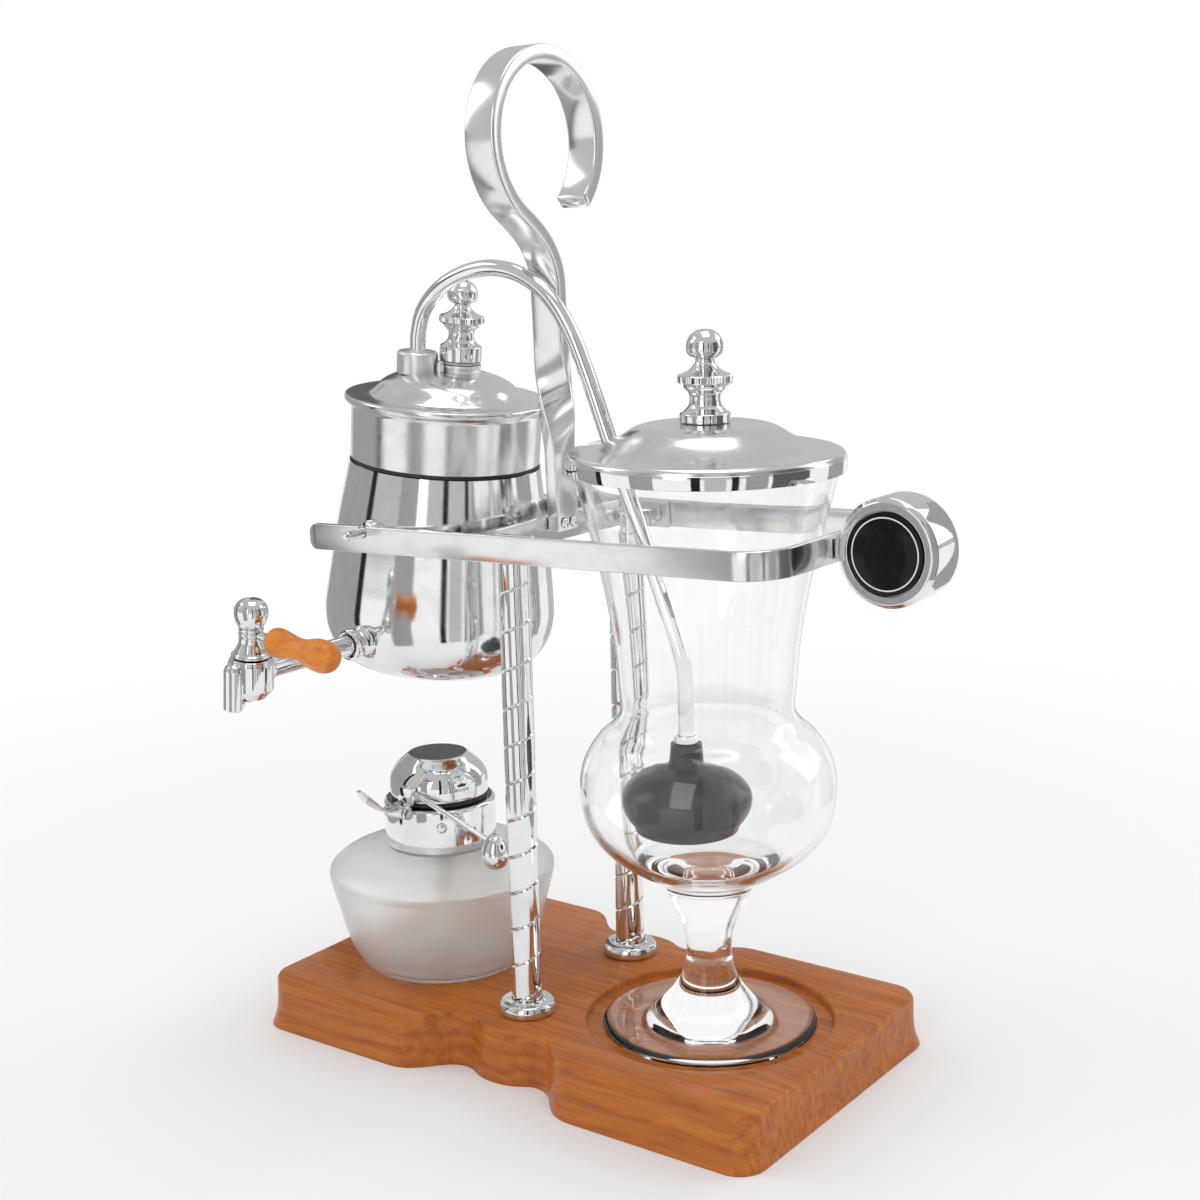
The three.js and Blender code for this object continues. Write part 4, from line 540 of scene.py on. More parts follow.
goblet_glass, tree, shader, spot = material("clear goblet glass")
touch = use(tree, wear, {"Vector": spot, "Smooth": 0.0, "Smeared": 0.03, "Scale": 45.0})
tree.links.new(mixed(tree, touch.outputs["Mask"], (0.985, 0.992, 0.99), (0.955, 0.965, 0.963)),
               shader.inputs["Base Color"])
tree.links.new(touch.outputs["Roughness"], shader.inputs["Roughness"])
shader.inputs["Transmission Weight"].default_value = 1
shader.inputs["IOR"].default_value = 1.47
ripple = node(tree, "ShaderNodeTexNoise", {"Vector": spot, "Scale": 22.0, "Detail": 1.0})
bump = node(tree, "ShaderNodeBump",
            {"Height": ripple.outputs["Fac"], "Strength": 0.05, "Distance": 0.001})
tree.links.new(bump.outputs["Normal"], shader.inputs["Normal"])
clear_shadow(tree, shader, (0.9, 0.91, 0.91))

etched_glass, tree, shader, spot = material("etched bottle glass")
touch = use(tree, wear, {"Vector": spot, "Smooth": 0.28, "Smeared": 0.42, "Scale": 38.0})
tree.links.new(mixed(tree, touch.outputs["Mask"], (0.97, 0.975, 0.972), (0.92, 0.925, 0.922)),
               shader.inputs["Base Color"])
tree.links.new(touch.outputs["Roughness"], shader.inputs["Roughness"])
shader.inputs["Transmission Weight"].default_value = 0.9
shader.inputs["IOR"].default_value = 1.45
frost = node(tree, "ShaderNodeTexNoise", {"Vector": spot, "Scale": 2600.0, "Detail": 2.0})
bump = node(tree, "ShaderNodeBump",
            {"Height": frost.outputs["Fac"], "Strength": 0.25, "Distance": 0.0001})
tree.links.new(bump.outputs["Normal"], shader.inputs["Normal"])
clear_shadow(tree, shader, (0.78, 0.78, 0.77))
print("glass:", goblet_glass.name, "and", etched_glass.name)


# %% Black gloss, rubber, filter and cotton
def plain(name, low, high, smooth_at, rough_at, bump_strength, scale, shine=0.5):
    made, tree, shader, spot = material(name)
    worn = use(tree, wear, {"Vector": spot, "Smooth": smooth_at, "Smeared": rough_at,
                            "Scale": scale})
    tree.links.new(mixed(tree, worn.outputs["Mask"], low, high), shader.inputs["Base Color"])
    tree.links.new(worn.outputs["Roughness"], shader.inputs["Roughness"])
    shader.inputs["Specular IOR Level"].default_value = shine
    grit = node(tree, "ShaderNodeTexNoise", {"Vector": spot, "Scale": scale * 22, "Detail": 3.0})
    bump = node(tree, "ShaderNodeBump",
                {"Height": grit.outputs["Fac"], "Strength": bump_strength, "Distance": 0.0002})
    tree.links.new(bump.outputs["Normal"], shader.inputs["Normal"])
    return made


disc_black = plain("black enamel disc", (0.006, 0.006, 0.0065), (0.014, 0.014, 0.015), 0.1, 0.18,
                   0.02, 50.0, shine=0.2)
disc_white = plain("white enamel ring", (0.8, 0.8, 0.8), (0.7, 0.7, 0.7), 0.25, 0.35, 0.03, 50.0)
rubber = plain("black rubber", (0.016, 0.016, 0.017), (0.04, 0.04, 0.041), 0.5, 0.68, 0.3, 90.0)
filter_black = plain("dark filter", (0.022, 0.022, 0.025), (0.05, 0.05, 0.054), 0.16, 0.32, 0.06,
                     70.0, shine=0.3)
pale_gasket = plain("pale gasket", (0.5, 0.5, 0.5), (0.4, 0.4, 0.4), 0.45, 0.6, 0.2, 90.0)
cotton = plain("cotton wick", (0.78, 0.74, 0.64), (0.6, 0.55, 0.44), 0.85, 0.95, 0.8, 300.0)
print(len(bpy.data.materials), "materials")

# %% [markdown]
# ## Putting a piece in its place
# Each finished mesh is shrunk to metres, put in its place, shaded smooth with only real edges
# kept sharp, and then hung on the body of the solid that it stands for. That solid is hidden and
# keeps its work in the motion.

# %% Place a piece
def show(bm, name, material, place=HERE, stands_for=(), sharp=32):
    """Finished object from a mesh in millimetres. The first solid named gives the body."""
    bmesh.ops.transform(bm, matrix=Matrix.Scale(MM, 4) @ place, verts=bm.verts)
    mesh = bpy.data.meshes.new(name)
    bm.to_mesh(mesh)
    bm.free()
    mesh.materials.append(material)
    mesh.shade_smooth()
    mesh.set_sharp_from_angle(angle=math.radians(sharp))
    obj = bpy.data.objects.new(name, mesh)
    scene.collection.objects.link(obj)
    nodes = [stands_for] if isinstance(stands_for, str) else list(stands_for)
    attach(obj, body_of[nodes[0]])
    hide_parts(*nodes)
    return obj


def add_on(bm, name, material, place, body, sharp=32):
    """Small trim that rides on a body and stands for no solid of its own."""
    bmesh.ops.transform(bm, matrix=Matrix.Scale(MM, 4) @ place, verts=bm.verts)
    mesh = bpy.data.meshes.new(name)
    bm.to_mesh(mesh)
    bm.free()
    mesh.materials.append(material)
    mesh.shade_smooth()
    mesh.set_sharp_from_angle(angle=math.radians(sharp))
    obj = bpy.data.objects.new(name, mesh)
    scene.collection.objects.link(obj)
    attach(obj, body)
    return obj


# %% [markdown]
# ## Board
# The board is one plank with a waisted outline: two wide ends, a notch on each long side and a
# small bump at the columns. The outline is drawn once from curves, then extruded upwards level by
# level and scaled a little each time, which gives the flared foot and the eased top edge.

# %% Board
BOARD_HALF = 120
BOARD_SIDE = 68.5
BOARD_NOTCH = 52.5
BOARD_BUMP = 57.5
BOARD_CORNER = 11
BOARD_FLARE = 2.2
LOBE_REACH, NOTCH_REACH = 45, 17.5
RECESS_RADIUS, RECESS_FLOOR = 49.5, 19.4
BOARD_LEVELS = [(0.02, 1.0), (0.14, 0.66), (0.24, 0.4), (0.36, 0.2), (0.6, 0.04), (0.88, 0.0),
                (0.93, -0.05), (0.97, -0.22), (0.992, -0.4), (1.0, -0.62)]


def board_outline():
    lobe, notch = (LOBE_REACH - NOTCH_REACH) * 0.55, (LOBE_REACH - NOTCH_REACH) * 0.42
    bump, handle = NOTCH_REACH * 0.6, BOARD_CORNER * 0.5523
    outline = []
    for side in (-1, 1):
        ahead = -side
        wide, narrow, crest = side * BOARD_SIDE, side * BOARD_NOTCH, side * BOARD_BUMP
        start, end = COLUMN_X - ahead * LOBE_REACH, COLUMN_X + ahead * LOBE_REACH
        first, last = COLUMN_X - ahead * NOTCH_REACH, COLUMN_X + ahead * NOTCH_REACH
        near = ahead * (BOARD_HALF - BOARD_CORNER)
        tip, flank = ahead * BOARD_HALF, side * (BOARD_SIDE - BOARD_CORNER)
        runs = [
            ((start, wide), (start + ahead * lobe, wide), (first - ahead * notch, narrow), (first, narrow)),
            ((first, narrow), (first + ahead * notch / 2, narrow), (COLUMN_X - ahead * bump, crest),
             (COLUMN_X, crest)),
            ((COLUMN_X, crest), (COLUMN_X + ahead * bump, crest), (last - ahead * notch / 2, narrow),
             (last, narrow)),
            ((last, narrow), (last + ahead * notch, narrow), (end - ahead * lobe, wide), (end, wide)),
            ((near, wide), (near + ahead * handle, wide), (tip, flank + side * handle), (tip, flank)),
            ((tip, -flank), (tip, -flank - side * handle), (near + ahead * handle, -wide), (near, -wide)),
        ]
        for run in runs:
            ends = [Vector((*spot, 0)) for spot in run]
            for spot in interpolate_bezier(ends[0], ends[1], ends[2], ends[3], 17):
                if not outline or (spot - outline[-1]).length > WELD:
                    outline.append(spot)
    return outline


def raised(bm, ring, scale, rise):
    """Extrudes a ring of edges, then scales the new ring in plan and lifts it."""
    made = bmesh.ops.extrude_edge_only(bm, edges=ring)
    verts = {v for v in made["geom"] if isinstance(v, bmesh.types.BMVert)}
    bmesh.ops.scale(bm, vec=(scale[0], scale[1], 1), verts=list(verts), space=scale_space)
    bmesh.ops.translate(bm, vec=(0, 0, rise), verts=list(verts))
    edges = {e for v in verts for e in v.link_edges if all(w in verts for w in e.verts)}
    return list(edges)


scale_space = Matrix.Identity(4)


def hollow(bm, ring, centre, steps):
    """Carries a round rim to other radii and heights: each step is a (scale, rise)."""
    global scale_space
    scale_space = Matrix.Translation(-Vector(centre))
    for scale, rise in steps:
        ring = raised(bm, ring, (scale, scale), rise)
    scale_space = Matrix.Identity(4)
    return ring


def circle(bm, centre, radius, segments=SIDES):
    made = bmesh.ops.create_circle(bm, cap_ends=False, segments=segments, radius=radius,
                                   matrix=Matrix.Translation(centre))
    verts = set(made["verts"])
    return list({e for v in verts for e in v.link_edges if all(w in verts for w in e.verts)})


board = bmesh.new()
flares = [(1 + share * BOARD_FLARE / BOARD_HALF, 1 + share * BOARD_FLARE / BOARD_SIDE)
          for _, share in [(0, 0.9), *BOARD_LEVELS]]
edge = loop_of(board, [Vector((p.x * flares[0][0], p.y * flares[0][1], 0)) for p in board_outline()])
under = list(edge)
height = 0
for i, (share, _) in enumerate(BOARD_LEVELS):
    step = (flares[i + 1][0] / flares[i][0], flares[i + 1][1] / flares[i][1])
    edge = raised(board, edge, step, share * BOARD_TOP - height)
    height = share * BOARD_TOP
lip = circle(board, (60, 0, BOARD_TOP), RECESS_RADIUS + 0.8, FINE_SIDES)
bmesh.ops.triangle_fill(board, use_beauty=True, edges=edge + lip)
drop = BOARD_TOP - RECESS_FLOOR
floor = hollow(board, lip, (60, 0, 0), [(0.993, -0.15), (0.99, -0.65), (1.0, 1.4 - drop),
                                        (0.995, -0.45), (0.97, -0.15)])
bmesh.ops.edgeloop_fill(board, edges=floor)
wells = [circle(board, (COLUMN_X, side * COLUMN_Y, 0), 8.3, SMALL_SIDES) for side in (-1, 1)]
bmesh.ops.triangle_fill(board, use_beauty=True, edges=under + wells[0] + wells[1])
for side, well in zip((-1, 1), wells):
    bmesh.ops.edgeloop_fill(board, edges=hollow(board, well, (COLUMN_X, side * COLUMN_Y, 0), [(1.0, 7)]))
show(tidy(board), "board", board_wood, stands_for="base_board", sharp=40)
print("board made from", len(board_outline()), "outline points")

# %% [markdown]
# ## Columns
# Two chromed columns carry the beam. A thin line winds up each of them. The side of one turn of
# that line is drawn as a short profile, and a spin that also climbs a little at every step winds it
# into the whole column. The ends are then cut flat.

# %% Columns
COLUMN_RADIUS = 6.05
COLUMN_FOOT = 22.7
COLUMN_SHOULDER = 207
COLUMN_END = 215.5
SPIRAL_PITCH = 15.2
GROOVE_WIDTH, GROOVE_DEPTH = 1.5, 0.45
SPIRAL_STEPS = 48


def spiral_column():
    bm = bmesh.new()
    wide = SPIRAL_PITCH - GROOVE_WIDTH
    shape = [(0, 0), (wide / 3, 0), (2 * wide / 3, 0), (wide, 0), (wide + GROOVE_WIDTH * 0.2, 0.45),
             (wide + GROOVE_WIDTH * 0.5, 1), (wide + GROOVE_WIDTH * 0.8, 0.45), (SPIRAL_PITCH, 0)]
    verts = [bm.verts.new((COLUMN_RADIUS - deep * GROOVE_DEPTH, 0, COLUMN_FOOT - SPIRAL_PITCH * 1.3 + up))
             for up, deep in shape]
    edges = [bm.edges.new(pair) for pair in zip(verts, verts[1:])]
    turns = math.ceil((COLUMN_SHOULDER - COLUMN_FOOT) / SPIRAL_PITCH) + 3
    bmesh.ops.spin(bm, geom=verts + edges, cent=(0, 0, 0), axis=(0, 0, 1), angle=turns * math.tau,
                   steps=turns * SPIRAL_STEPS, dvec=(0, 0, SPIRAL_PITCH / SPIRAL_STEPS))
    bmesh.ops.remove_doubles(bm, verts=bm.verts, dist=0.01)
    for height, way in ((COLUMN_FOOT, -1), (COLUMN_SHOULDER, 1)):
        bmesh.ops.bisect_plane(bm, geom=bm.verts[:] + bm.edges[:] + bm.faces[:], dist=1e-5,
                               plane_co=(0, 0, height), plane_no=(0, 0, way), clear_outer=True)
    rims = [e for e in bm.edges if e.is_boundary]
    bmesh.ops.holes_fill(bm, edges=rims, sides=0)
    bmesh.ops.recalc_face_normals(bm, faces=bm.faces)
    return bm


for name, side in (("front", -1), ("back", 1)):
    head = rod(COLUMN_SHOULDER - 1, COLUMN_END, 4.8, ease=1.2)
    spot = shift(COLUMN_X, side * COLUMN_Y, 0)
    column = show(joined(spiral_column(), head), f"column_{name}_chromed", chrome, spot,
                  f"column_{name}")
    bore, wall = COLUMN_RADIUS + 0.3, 11.5 - COLUMN_RADIUS - 0.3
    ring = [(bore, 22.7), (bore + 0.9 * wall, 22.7), *smooth(
        [(bore + a * wall, 22.7 + b * 5.6) for a, b in
         [(0.96, 0.03), (1, 0.25), (0.97, 0.55), (0.8, 0.8), (0.45, 0.9)]], 5),
        (bore + 0.3 * wall, 22.7 + 5.1), (bore + 0.2 * wall, 28.3), (bore, 28.3)]
    show(lathe(ring, SIDES, ring=True), f"collar_{name}", chrome, spot, f"column_collar_{name}")
    show(tube(3.2, 8, 5.5, 6.7, 0.2), f"washer_{name}", plain_steel, spot, f"column_washer_{name}")
    hexagon = lathe(rounded([(0, 1.2), (6.4, 1.2), (6.4, 5.2), (0, 5.2)], 0.4), 6)
    show(joined(hexagon, rod(3.2, 33.4, 2.9)), f"bolt_{name}", plain_steel, spot,
         f"column_bolt_{name}")
print("columns with", len(column.data.polygons), "faces each")

# %% [markdown]
# ## Beam and yoke
# The beam is one flat bar bent to a long U. A rounded rectangle is carried along the bar's middle
# line, round the two corners. Towards the free ends the section gets lower step by
# step along a quarter circle, which rounds the ends. The notch for the boiler's pin is cut out.

# %% Beam
BEAM_HEIGHT, BEAM_THICK, BEAM_LOW = 10.5, 3.0, -2.7
BEAM_MIDDLE = BEAM_LOW + BEAM_HEIGHT / 2
ARM_Y = 47.82
END_RADIUS = 3.4
UP = Vector((0, 0, 1))


def flat_section(width, height, ease=0.55):
    corners = [(-width / 2, -height / 2), (width / 2, -height / 2), (width / 2, height / 2),
               (-width / 2, height / 2)]
    return rounded(corners, ease, steps=3, closed=True)


def bent_path(points, radius, steps=20):
    """Path in plan with each square corner bent to a quarter circle."""
    spots = [Vector((*p, 0)) for p in points]
    path = [spots[0]]
    for a, b, c in zip(spots, spots[1:], spots[2:]):
        start, end = b + (a - b).normalized() * radius, b + (c - b).normalized() * radius
        for i in range(steps + 1):
            angle = math.pi / 2 * i / steps
            path.append(start + end - b - (end - b) * math.cos(angle) - (start - b) * math.sin(angle))
    return [*path, spots[-1]]


def flat_stations(path, rise, height_share=None):
    stations = []
    for i, spot in enumerate(path):
        way = (path[min(i + 1, len(path) - 1)] - path[max(i - 1, 0)]).normalized()
        share = 1 if height_share is None else height_share[i]
        stations.append((spot + UP * rise, way.cross(UP), UP * share))
    return stations


path = bent_path([(-94, -ARM_Y), (120.8, -ARM_Y), (120.8, ARM_Y), (-94, ARM_Y)], 16.5)
ends, shares = [], []
for i in range(9):
    angle = math.pi / 2 * i / 8
    ends.append(END_RADIUS * (1 - math.cos(angle)))
    shares.append(1 - 2 * END_RADIUS * (1 - math.sin(angle)) / BEAM_HEIGHT)
whole = [Vector((-94 + d, -ARM_Y, 0)) for d in ends] + path[1:-1]
whole += [Vector((-94 + d, ARM_Y, 0)) for d in reversed(ends)]
heights = shares + [1] * (len(path) - 2) + shares[::-1]
beam = sweep(flat_stations(whole, BEAM_MIDDLE, heights), flat_section(BEAM_THICK, BEAM_HEIGHT))
notches = []
for side in (-1, 1):
    slot = rod(-3, 3, 2.2, 0)
    notches.append(moved(slot, shift(-65.2, side * ARM_Y, 5.4) @ turn(90, "X")))
    notches.append(slab((-67.4, side * ARM_Y - 3, 5.4), (-63, side * ARM_Y + 3, 12), 0))
show(cut(beam, *notches), "beam_bar", beam_chrome, BEAM, "beam_frame")

YOKE_Y, YOKE_RADIUS = 44.52, 8.4
path = bent_path([(16, -YOKE_Y), (-YOKE_RADIUS, -YOKE_Y), (-YOKE_RADIUS, YOKE_Y), (16, YOKE_Y)],
                 YOKE_RADIUS)
yoke = sweep(flat_stations(path, BEAM_MIDDLE), flat_section(3, BEAM_HEIGHT))
show(yoke, "yoke", beam_chrome, BEAM, "yoke_bar")
print("beam and yoke made")

# %% Pins and rivets
for name, side in (("front", -1), ("back", 1)):
    lie = turn(-90 * side, "X")
    show(rod(31.3, 48.0, 2), f"pivot_{name}", plain_steel, BEAM @ lie, f"pivot_pin_{name}")
    rivet = joined(rod(42.0, 48.0, 1.6),
                   lathe(smooth([(0, 41.7), (1.7, 41.9), (2.6, 42.35), (2.8, 42.7), (0, 42.71)], 5),
                         SMALL_SIDES))
    show(rivet, f"beam_rivet_{name}", plain_steel,
         BEAM @ shift(11, 0, BEAM_MIDDLE) @ lie, f"yoke_rivet_{name}")
    strap_rivet = joined(rod(-11.0, -0.2, 0.8),
                         lathe(smooth([(0, -0.701), (2.1, -0.7), (1.9, -0.2), (1.2, 0.2), (0, 0.3)], 4),
                               SMALL_SIDES),
                         lathe(smooth([(0, -11.2), (1.2, -11.1), (1.9, -10.7), (2.1, -10.2),
                                       (0, -10.199)], 4), SMALL_SIDES))
    show(strap_rivet, f"small_rivet_{name}", chrome,
         BEAM @ shift(0, 1.2 + side * 2.8, 5) @ turn(90, "Y"), f"strap_rivet_{name}")
print("pins and rivets made")

# %% [markdown]
# ## Lifting hook
# The hook is a flat strap: screwed flat against the yoke, twisted a quarter turn so that it
# stands edge on, and then bent to a big open ring for a hand. The strap's section has small
# chamfers. It is carried along stations that hold a place, the way of travel and the twist.

# %% Lifting hook
STRAP_X, STRAP_WIDTH, STRAP_THICK = -3.8, 13.5, 5.6
RING_RADIUS, RING_Y, RING_RISE = 31.7, -3.5, 152
STEM_Y, FOOT_Y = -0.9, 1.2
FOOT_RISE, TWIST_LOW, TWIST_HIGH, STEM_TOP = 2, 31.5, 78.5, 97.5
RING_LEAN = 0.9
RING_START, RING_TIP = 235, -47


def strap_stations():
    def lean(rise):
        return STRAP_X + RING_LEAN * (rise - FOOT_RISE) / (RING_RISE - FOOT_RISE)

    spots = [(Vector((STRAP_X, FOOT_Y, FOOT_RISE)), UP, 1.0),
             (Vector((STRAP_X, FOOT_Y, FOOT_RISE + 0.5)), UP, 1.0)]
    for i in range(41):
        t = i / 40
        ease = t * t * (3 - 2 * t)
        rise = TWIST_LOW + t * (TWIST_HIGH - TWIST_LOW)
        spots.append((Vector((lean(rise), FOOT_Y + ease * (STEM_Y - FOOT_Y), rise)), UP, 1 - ease))
    start = math.radians(RING_START)
    end_y, end_rise = (RING_Y + RING_RADIUS * math.cos(start), RING_RISE + RING_RADIUS * math.sin(start))
    reach = STEM_Y - end_y
    handles = [Vector((0, STEM_Y, STEM_TOP)), Vector((0, STEM_Y, STEM_TOP + reach * 0.7)),
               Vector((0, end_y - math.sin(start) * reach * 0.5, end_rise + math.cos(start) * reach * 0.5)),
               Vector((0, end_y, end_rise))]
    bend = interpolate_bezier(*handles, 25)
    for i, spot in enumerate(bend):
        way = (bend[min(i + 1, 24)] - bend[max(i - 1, 0)]).normalized()
        spots.append((Vector((lean(spot.z), spot.y, spot.z)), way, 0.0))
    tip = math.radians(RING_TIP)
    for i in range(1, 91):
        angle = start + (tip - start) * i / 90
        y, rise = RING_Y + RING_RADIUS * math.cos(angle), RING_RISE + RING_RADIUS * math.sin(angle)
        spots.append((Vector((lean(rise), y, rise)), Vector((0, math.sin(angle), -math.cos(angle))), 0.0))
    stations = []
    for i, (spot, way, twist) in enumerate(spots):
        side = Matrix.Rotation(twist * math.pi / 2, 3, way) @ Vector((1, 0, 0))
        face = way.cross(side)
        size = 0.86 if i == 0 else 1
        stations.append((spot, side * size, face * size))
    spot, way = spots[-1][0], spots[-1][1]
    for push, size in ((0.5, 0.94), (0.8, 0.84)):
        stations.append((spot + way * push, stations[-1][1].normalized() * size,
                         stations[-1][2].normalized() * size))
    return stations


strap = sweep(strap_stations(), flat_section(STRAP_WIDTH, STRAP_THICK, 0.95))
show(strap, "lifting_hook", beam_chrome, BEAM, "handle_strap", sharp=40)
print("hook with", len(strap_stations()), "stations")

# %% [markdown]
# ## Counterweight
# A solid chromed drum sits on a short lug at the beam's cross bar. Its rim is chamfered, and a
# black enamelled disc with a thin white ring is let into the face. The back has a plain cap.

# %% Counterweight
DRUM = BEAM @ shift(122.3 + 0.3 + 2.6 + 19.8, 0, BEAM_MIDDLE)
drum = lathe([(0, -8.1), *rounded([(15.2, -8.1), (15.2, -9.5), (18.2, -9.5), (19.8, -7.9), (19.8, 7.9),
                                   (18.2, 9.5), (15.2, 9.5), (15.2, 8.1)], 0.35), (0, 8.1)], FINE_SIDES)
show(drum, "drum", chrome, DRUM @ turn(90, "X"), "counterweight_drum")
for name, node_name, angle, finish in (("disc_face", "counterweight_disc", 90, disc_black),
                                       ("disc_back", "counterweight_cap", -90, chrome)):
    disc = lathe([(0, 8.4), *rounded([(14.9, 8.4), (14.9, 9.75), (14.4, 9.95)], 0.2), (6, 10.02),
                  (0, 10.04)], SIDES)
    show(disc, name, finish, DRUM @ turn(angle, "X"), node_name)
white = lathe(rounded([(12.75, 9.7), (13.25, 9.7), (13.25, 10.03), (12.75, 10.03)], 0.05, closed=True),
              FINE_SIDES, ring=True)
add_on(white, "disc_ring", disc_white, DRUM @ turn(90, "X"), "beam")
lug = cut(slab((122.6, -6, BEAM_MIDDLE - 4.3), (136, 6, BEAM_MIDDLE + 4.3), 0.8),
          moved(rod(-20, 20, 20.0, 0, SIDES), shift(145, 0, BEAM_MIDDLE) @ turn(90, "X")))
show(lug, "lug", chrome, BEAM, "counterweight_lug")
screw = joined(rod(0, 2.2, 3.2, 0.4, end_radius=4), rod(1, 14.5, 2))
slit = slab((-0.5, -6, -1), (0.5, 6, 0.9), 0)
show(cut(screw, slit), "weight_screw", plain_steel,
     BEAM @ shift(119.0 - 2.2, 0, BEAM_MIDDLE) @ turn(90, "Y"), "counterweight_screw")
print("counterweight made")

# %% [markdown]
# ## Boiler
# The boiler is spun sheet metal, wider near the foot. Its lid has a straight neck, a rolled rim
# and a dome. A dark seam shows between them. The trunnions, two pins in round bosses, hang the
# boiler in the beam's notches, and a flared boss leads into the tap's pipe.

# %% Boiler body, lid and seam
BOILER_RADIUS, BOILER_LOW, BODY_TOP = 47.8, -62, 22.6
LID_LOW, LID_TOP, RIM_RADIUS, NECK_RADIUS = 24.6, 60.5, 41.7, 38.7
body_height = BODY_TOP - BOILER_LOW
side = [(0.628, 0), (0.795, 0.024), (0.91, 0.083), (0.979, 0.165), (1, 0.26), (0.981, 0.378),
        (0.96, 0.473), (0.9, 0.733), (0.847, 0.903), (0.818, 1)]
outer = [Vector((0, BOILER_LOW)), *smooth(scaled(side, BOILER_RADIUS, body_height, BOILER_LOW), 7)]
boiler = lathe(outer + inside(outer, 1.2), FINE_SIDES)
flare = lathe([(0, 40), *smooth([(8.2, 43.5), (7.6, 46.2), (6.6, 48), (5.2, 49.6), (4.6, 50.8)], 5),
               (0, 50.8)], SMALL_SIDES)
flare = moved(flare, TAP_LINE @ turn(90, "Y"))
show(joined(boiler, flare), "boiler_shell", boiler_chrome, BOILER, "boiler_body")

show(tube(36.95, 38.6, 22.8, 24.0, 0.25, FINE_SIDES), "seam_ring", rubber, BOILER, "boiler_seal")

lid_height = LID_TOP - LID_LOW
roll = [(0.93, 0.565), (0.945, 0.6), (0.985, 0.62), (1, 0.652), (0.99, 0.69), (0.955, 0.703)]
dome = [(0.93, 0.7), (0.79, 0.708), (0.72, 0.76), (0.62, 0.86), (0.46, 0.94), (0.24, 0.987), (0, 1)]
neck = rounded([(36.65, 18.6), (36.65, LID_LOW - 0.5), (NECK_RADIUS, LID_LOW - 0.5),
                (NECK_RADIUS, LID_LOW + 0.55 * lid_height)], 0.5)
outer = [*neck, *smooth(scaled(roll, RIM_RADIUS, lid_height, LID_LOW), 6),
         *smooth(scaled(dome, RIM_RADIUS, lid_height, LID_LOW), 7)]
skirt = [Vector((35.5, 18.6)), Vector((35.5, 40))]
under_dome = [Vector((0, LID_TOP - 1.2)), *[v - Vector((0, 1.2)) for v in scaled(
    [(0.24, 0.985), (0.46, 0.935), (0.62, 0.85), (0.72, 0.75), (0.8, 0.69)], RIM_RADIUS, lid_height,
    LID_LOW)]]
lid = lathe([*under_dome, *skirt[::-1], *outer], FINE_SIDES)
show(lid, "boiler_lid_shell", boiler_lid_metal, BOILER, "boiler_lid")
print("boiler and lid made")

# %% Trunnions, filler neck, stopper and relief pin
PIN_RADIUS = 1.9
for name, side in (("front", -1), ("back", 1)):
    boss = rod(39.5, 46.02, 4.4, 0.8)
    pin = lathe([(0, 45), *rounded([(PIN_RADIUS, 45), (PIN_RADIUS, 58.5), (1.0, 59.42)], 0.5),
                 (0, 59.42)], SMALL_SIDES)
    show(joined(boss, pin), f"hanging_pin_{name}", chrome, BOILER @ turn(-90 * side, "X"),
         f"trunnion_{name}")
FILLER = BOILER @ shift(3, 3.6, 0)
neck = rounded([(5.6, 58.4), (8.5, 58.4), (8.5, 60.3), (8.0, 60.7), (8.0, 61.1), (8.5, 61.5),
                (8.5, 62.8), (5.6, 62.8)], 0.25, closed=True)
filler_metal = metal("plain filler neck", (0.86, 0.865, 0.87), (0.76, 0.765, 0.77), 0.3, 0.4, 0.05,
                     place=FILLER, marks=0.15)
show(lathe(neck, SIDES, ring=True), "filler_neck_ring", filler_metal, FILLER, "filler_neck")
show(tube(5.6, 8.2, 63.1, 64.0, 0.2), "filler_gasket", pale_gasket, FILLER, "filler_washer")

STOPPER = BOILER @ shift(-9, -9, 0)
stopper_metal = metal("plain stopper cap", (0.86, 0.865, 0.87), (0.76, 0.765, 0.77), 0.3, 0.4, 0.05,
                      place=STOPPER, marks=0.15)
plug = lathe(rounded([(3.45, 52.5), (5.3, 52.5), (5.5, 57.8), (5.5, 60.7), (3.45, 60.7)],
                     0.3, closed=True), SIDES, ring=True)
show(plug, "stopper_plug", rubber, STOPPER, "tube_stopper")
cap = lathe(rounded([(3.45, 61), (5.8, 61), (5.8, 58.6), (8.3, 58.6), (8.3, 66.6), (7.5, 67.4), (4.6, 67.5), (4.3, 67.72),
                     (3.45, 67.72)], 0.35, closed=True), SIDES, ring=True)
show(cap, "stopper_top", stopper_metal, STOPPER, "stopper_cap")
post = lathe([(0, 57.2), *rounded([(1.5, 57.2), (1.5, 63.4), (0.8, 64.6)], 0.5), (0, 64.6)], SMALL_SIDES)
show(post, "relief_post", chrome, BOILER @ shift(0.98, -6.49, 0), "relief_pin")
print("fittings on the lid made")

# %% [markdown]
# ## Knobs
# The filler cap and the goblet's lid carry the same turned knob: a flange, a waist, a disc with a
# fine serrated edge for the fingers, a neck and a ball. After the spin, every second corner on the
# disc's edge is drawn in a little, which makes the serration.

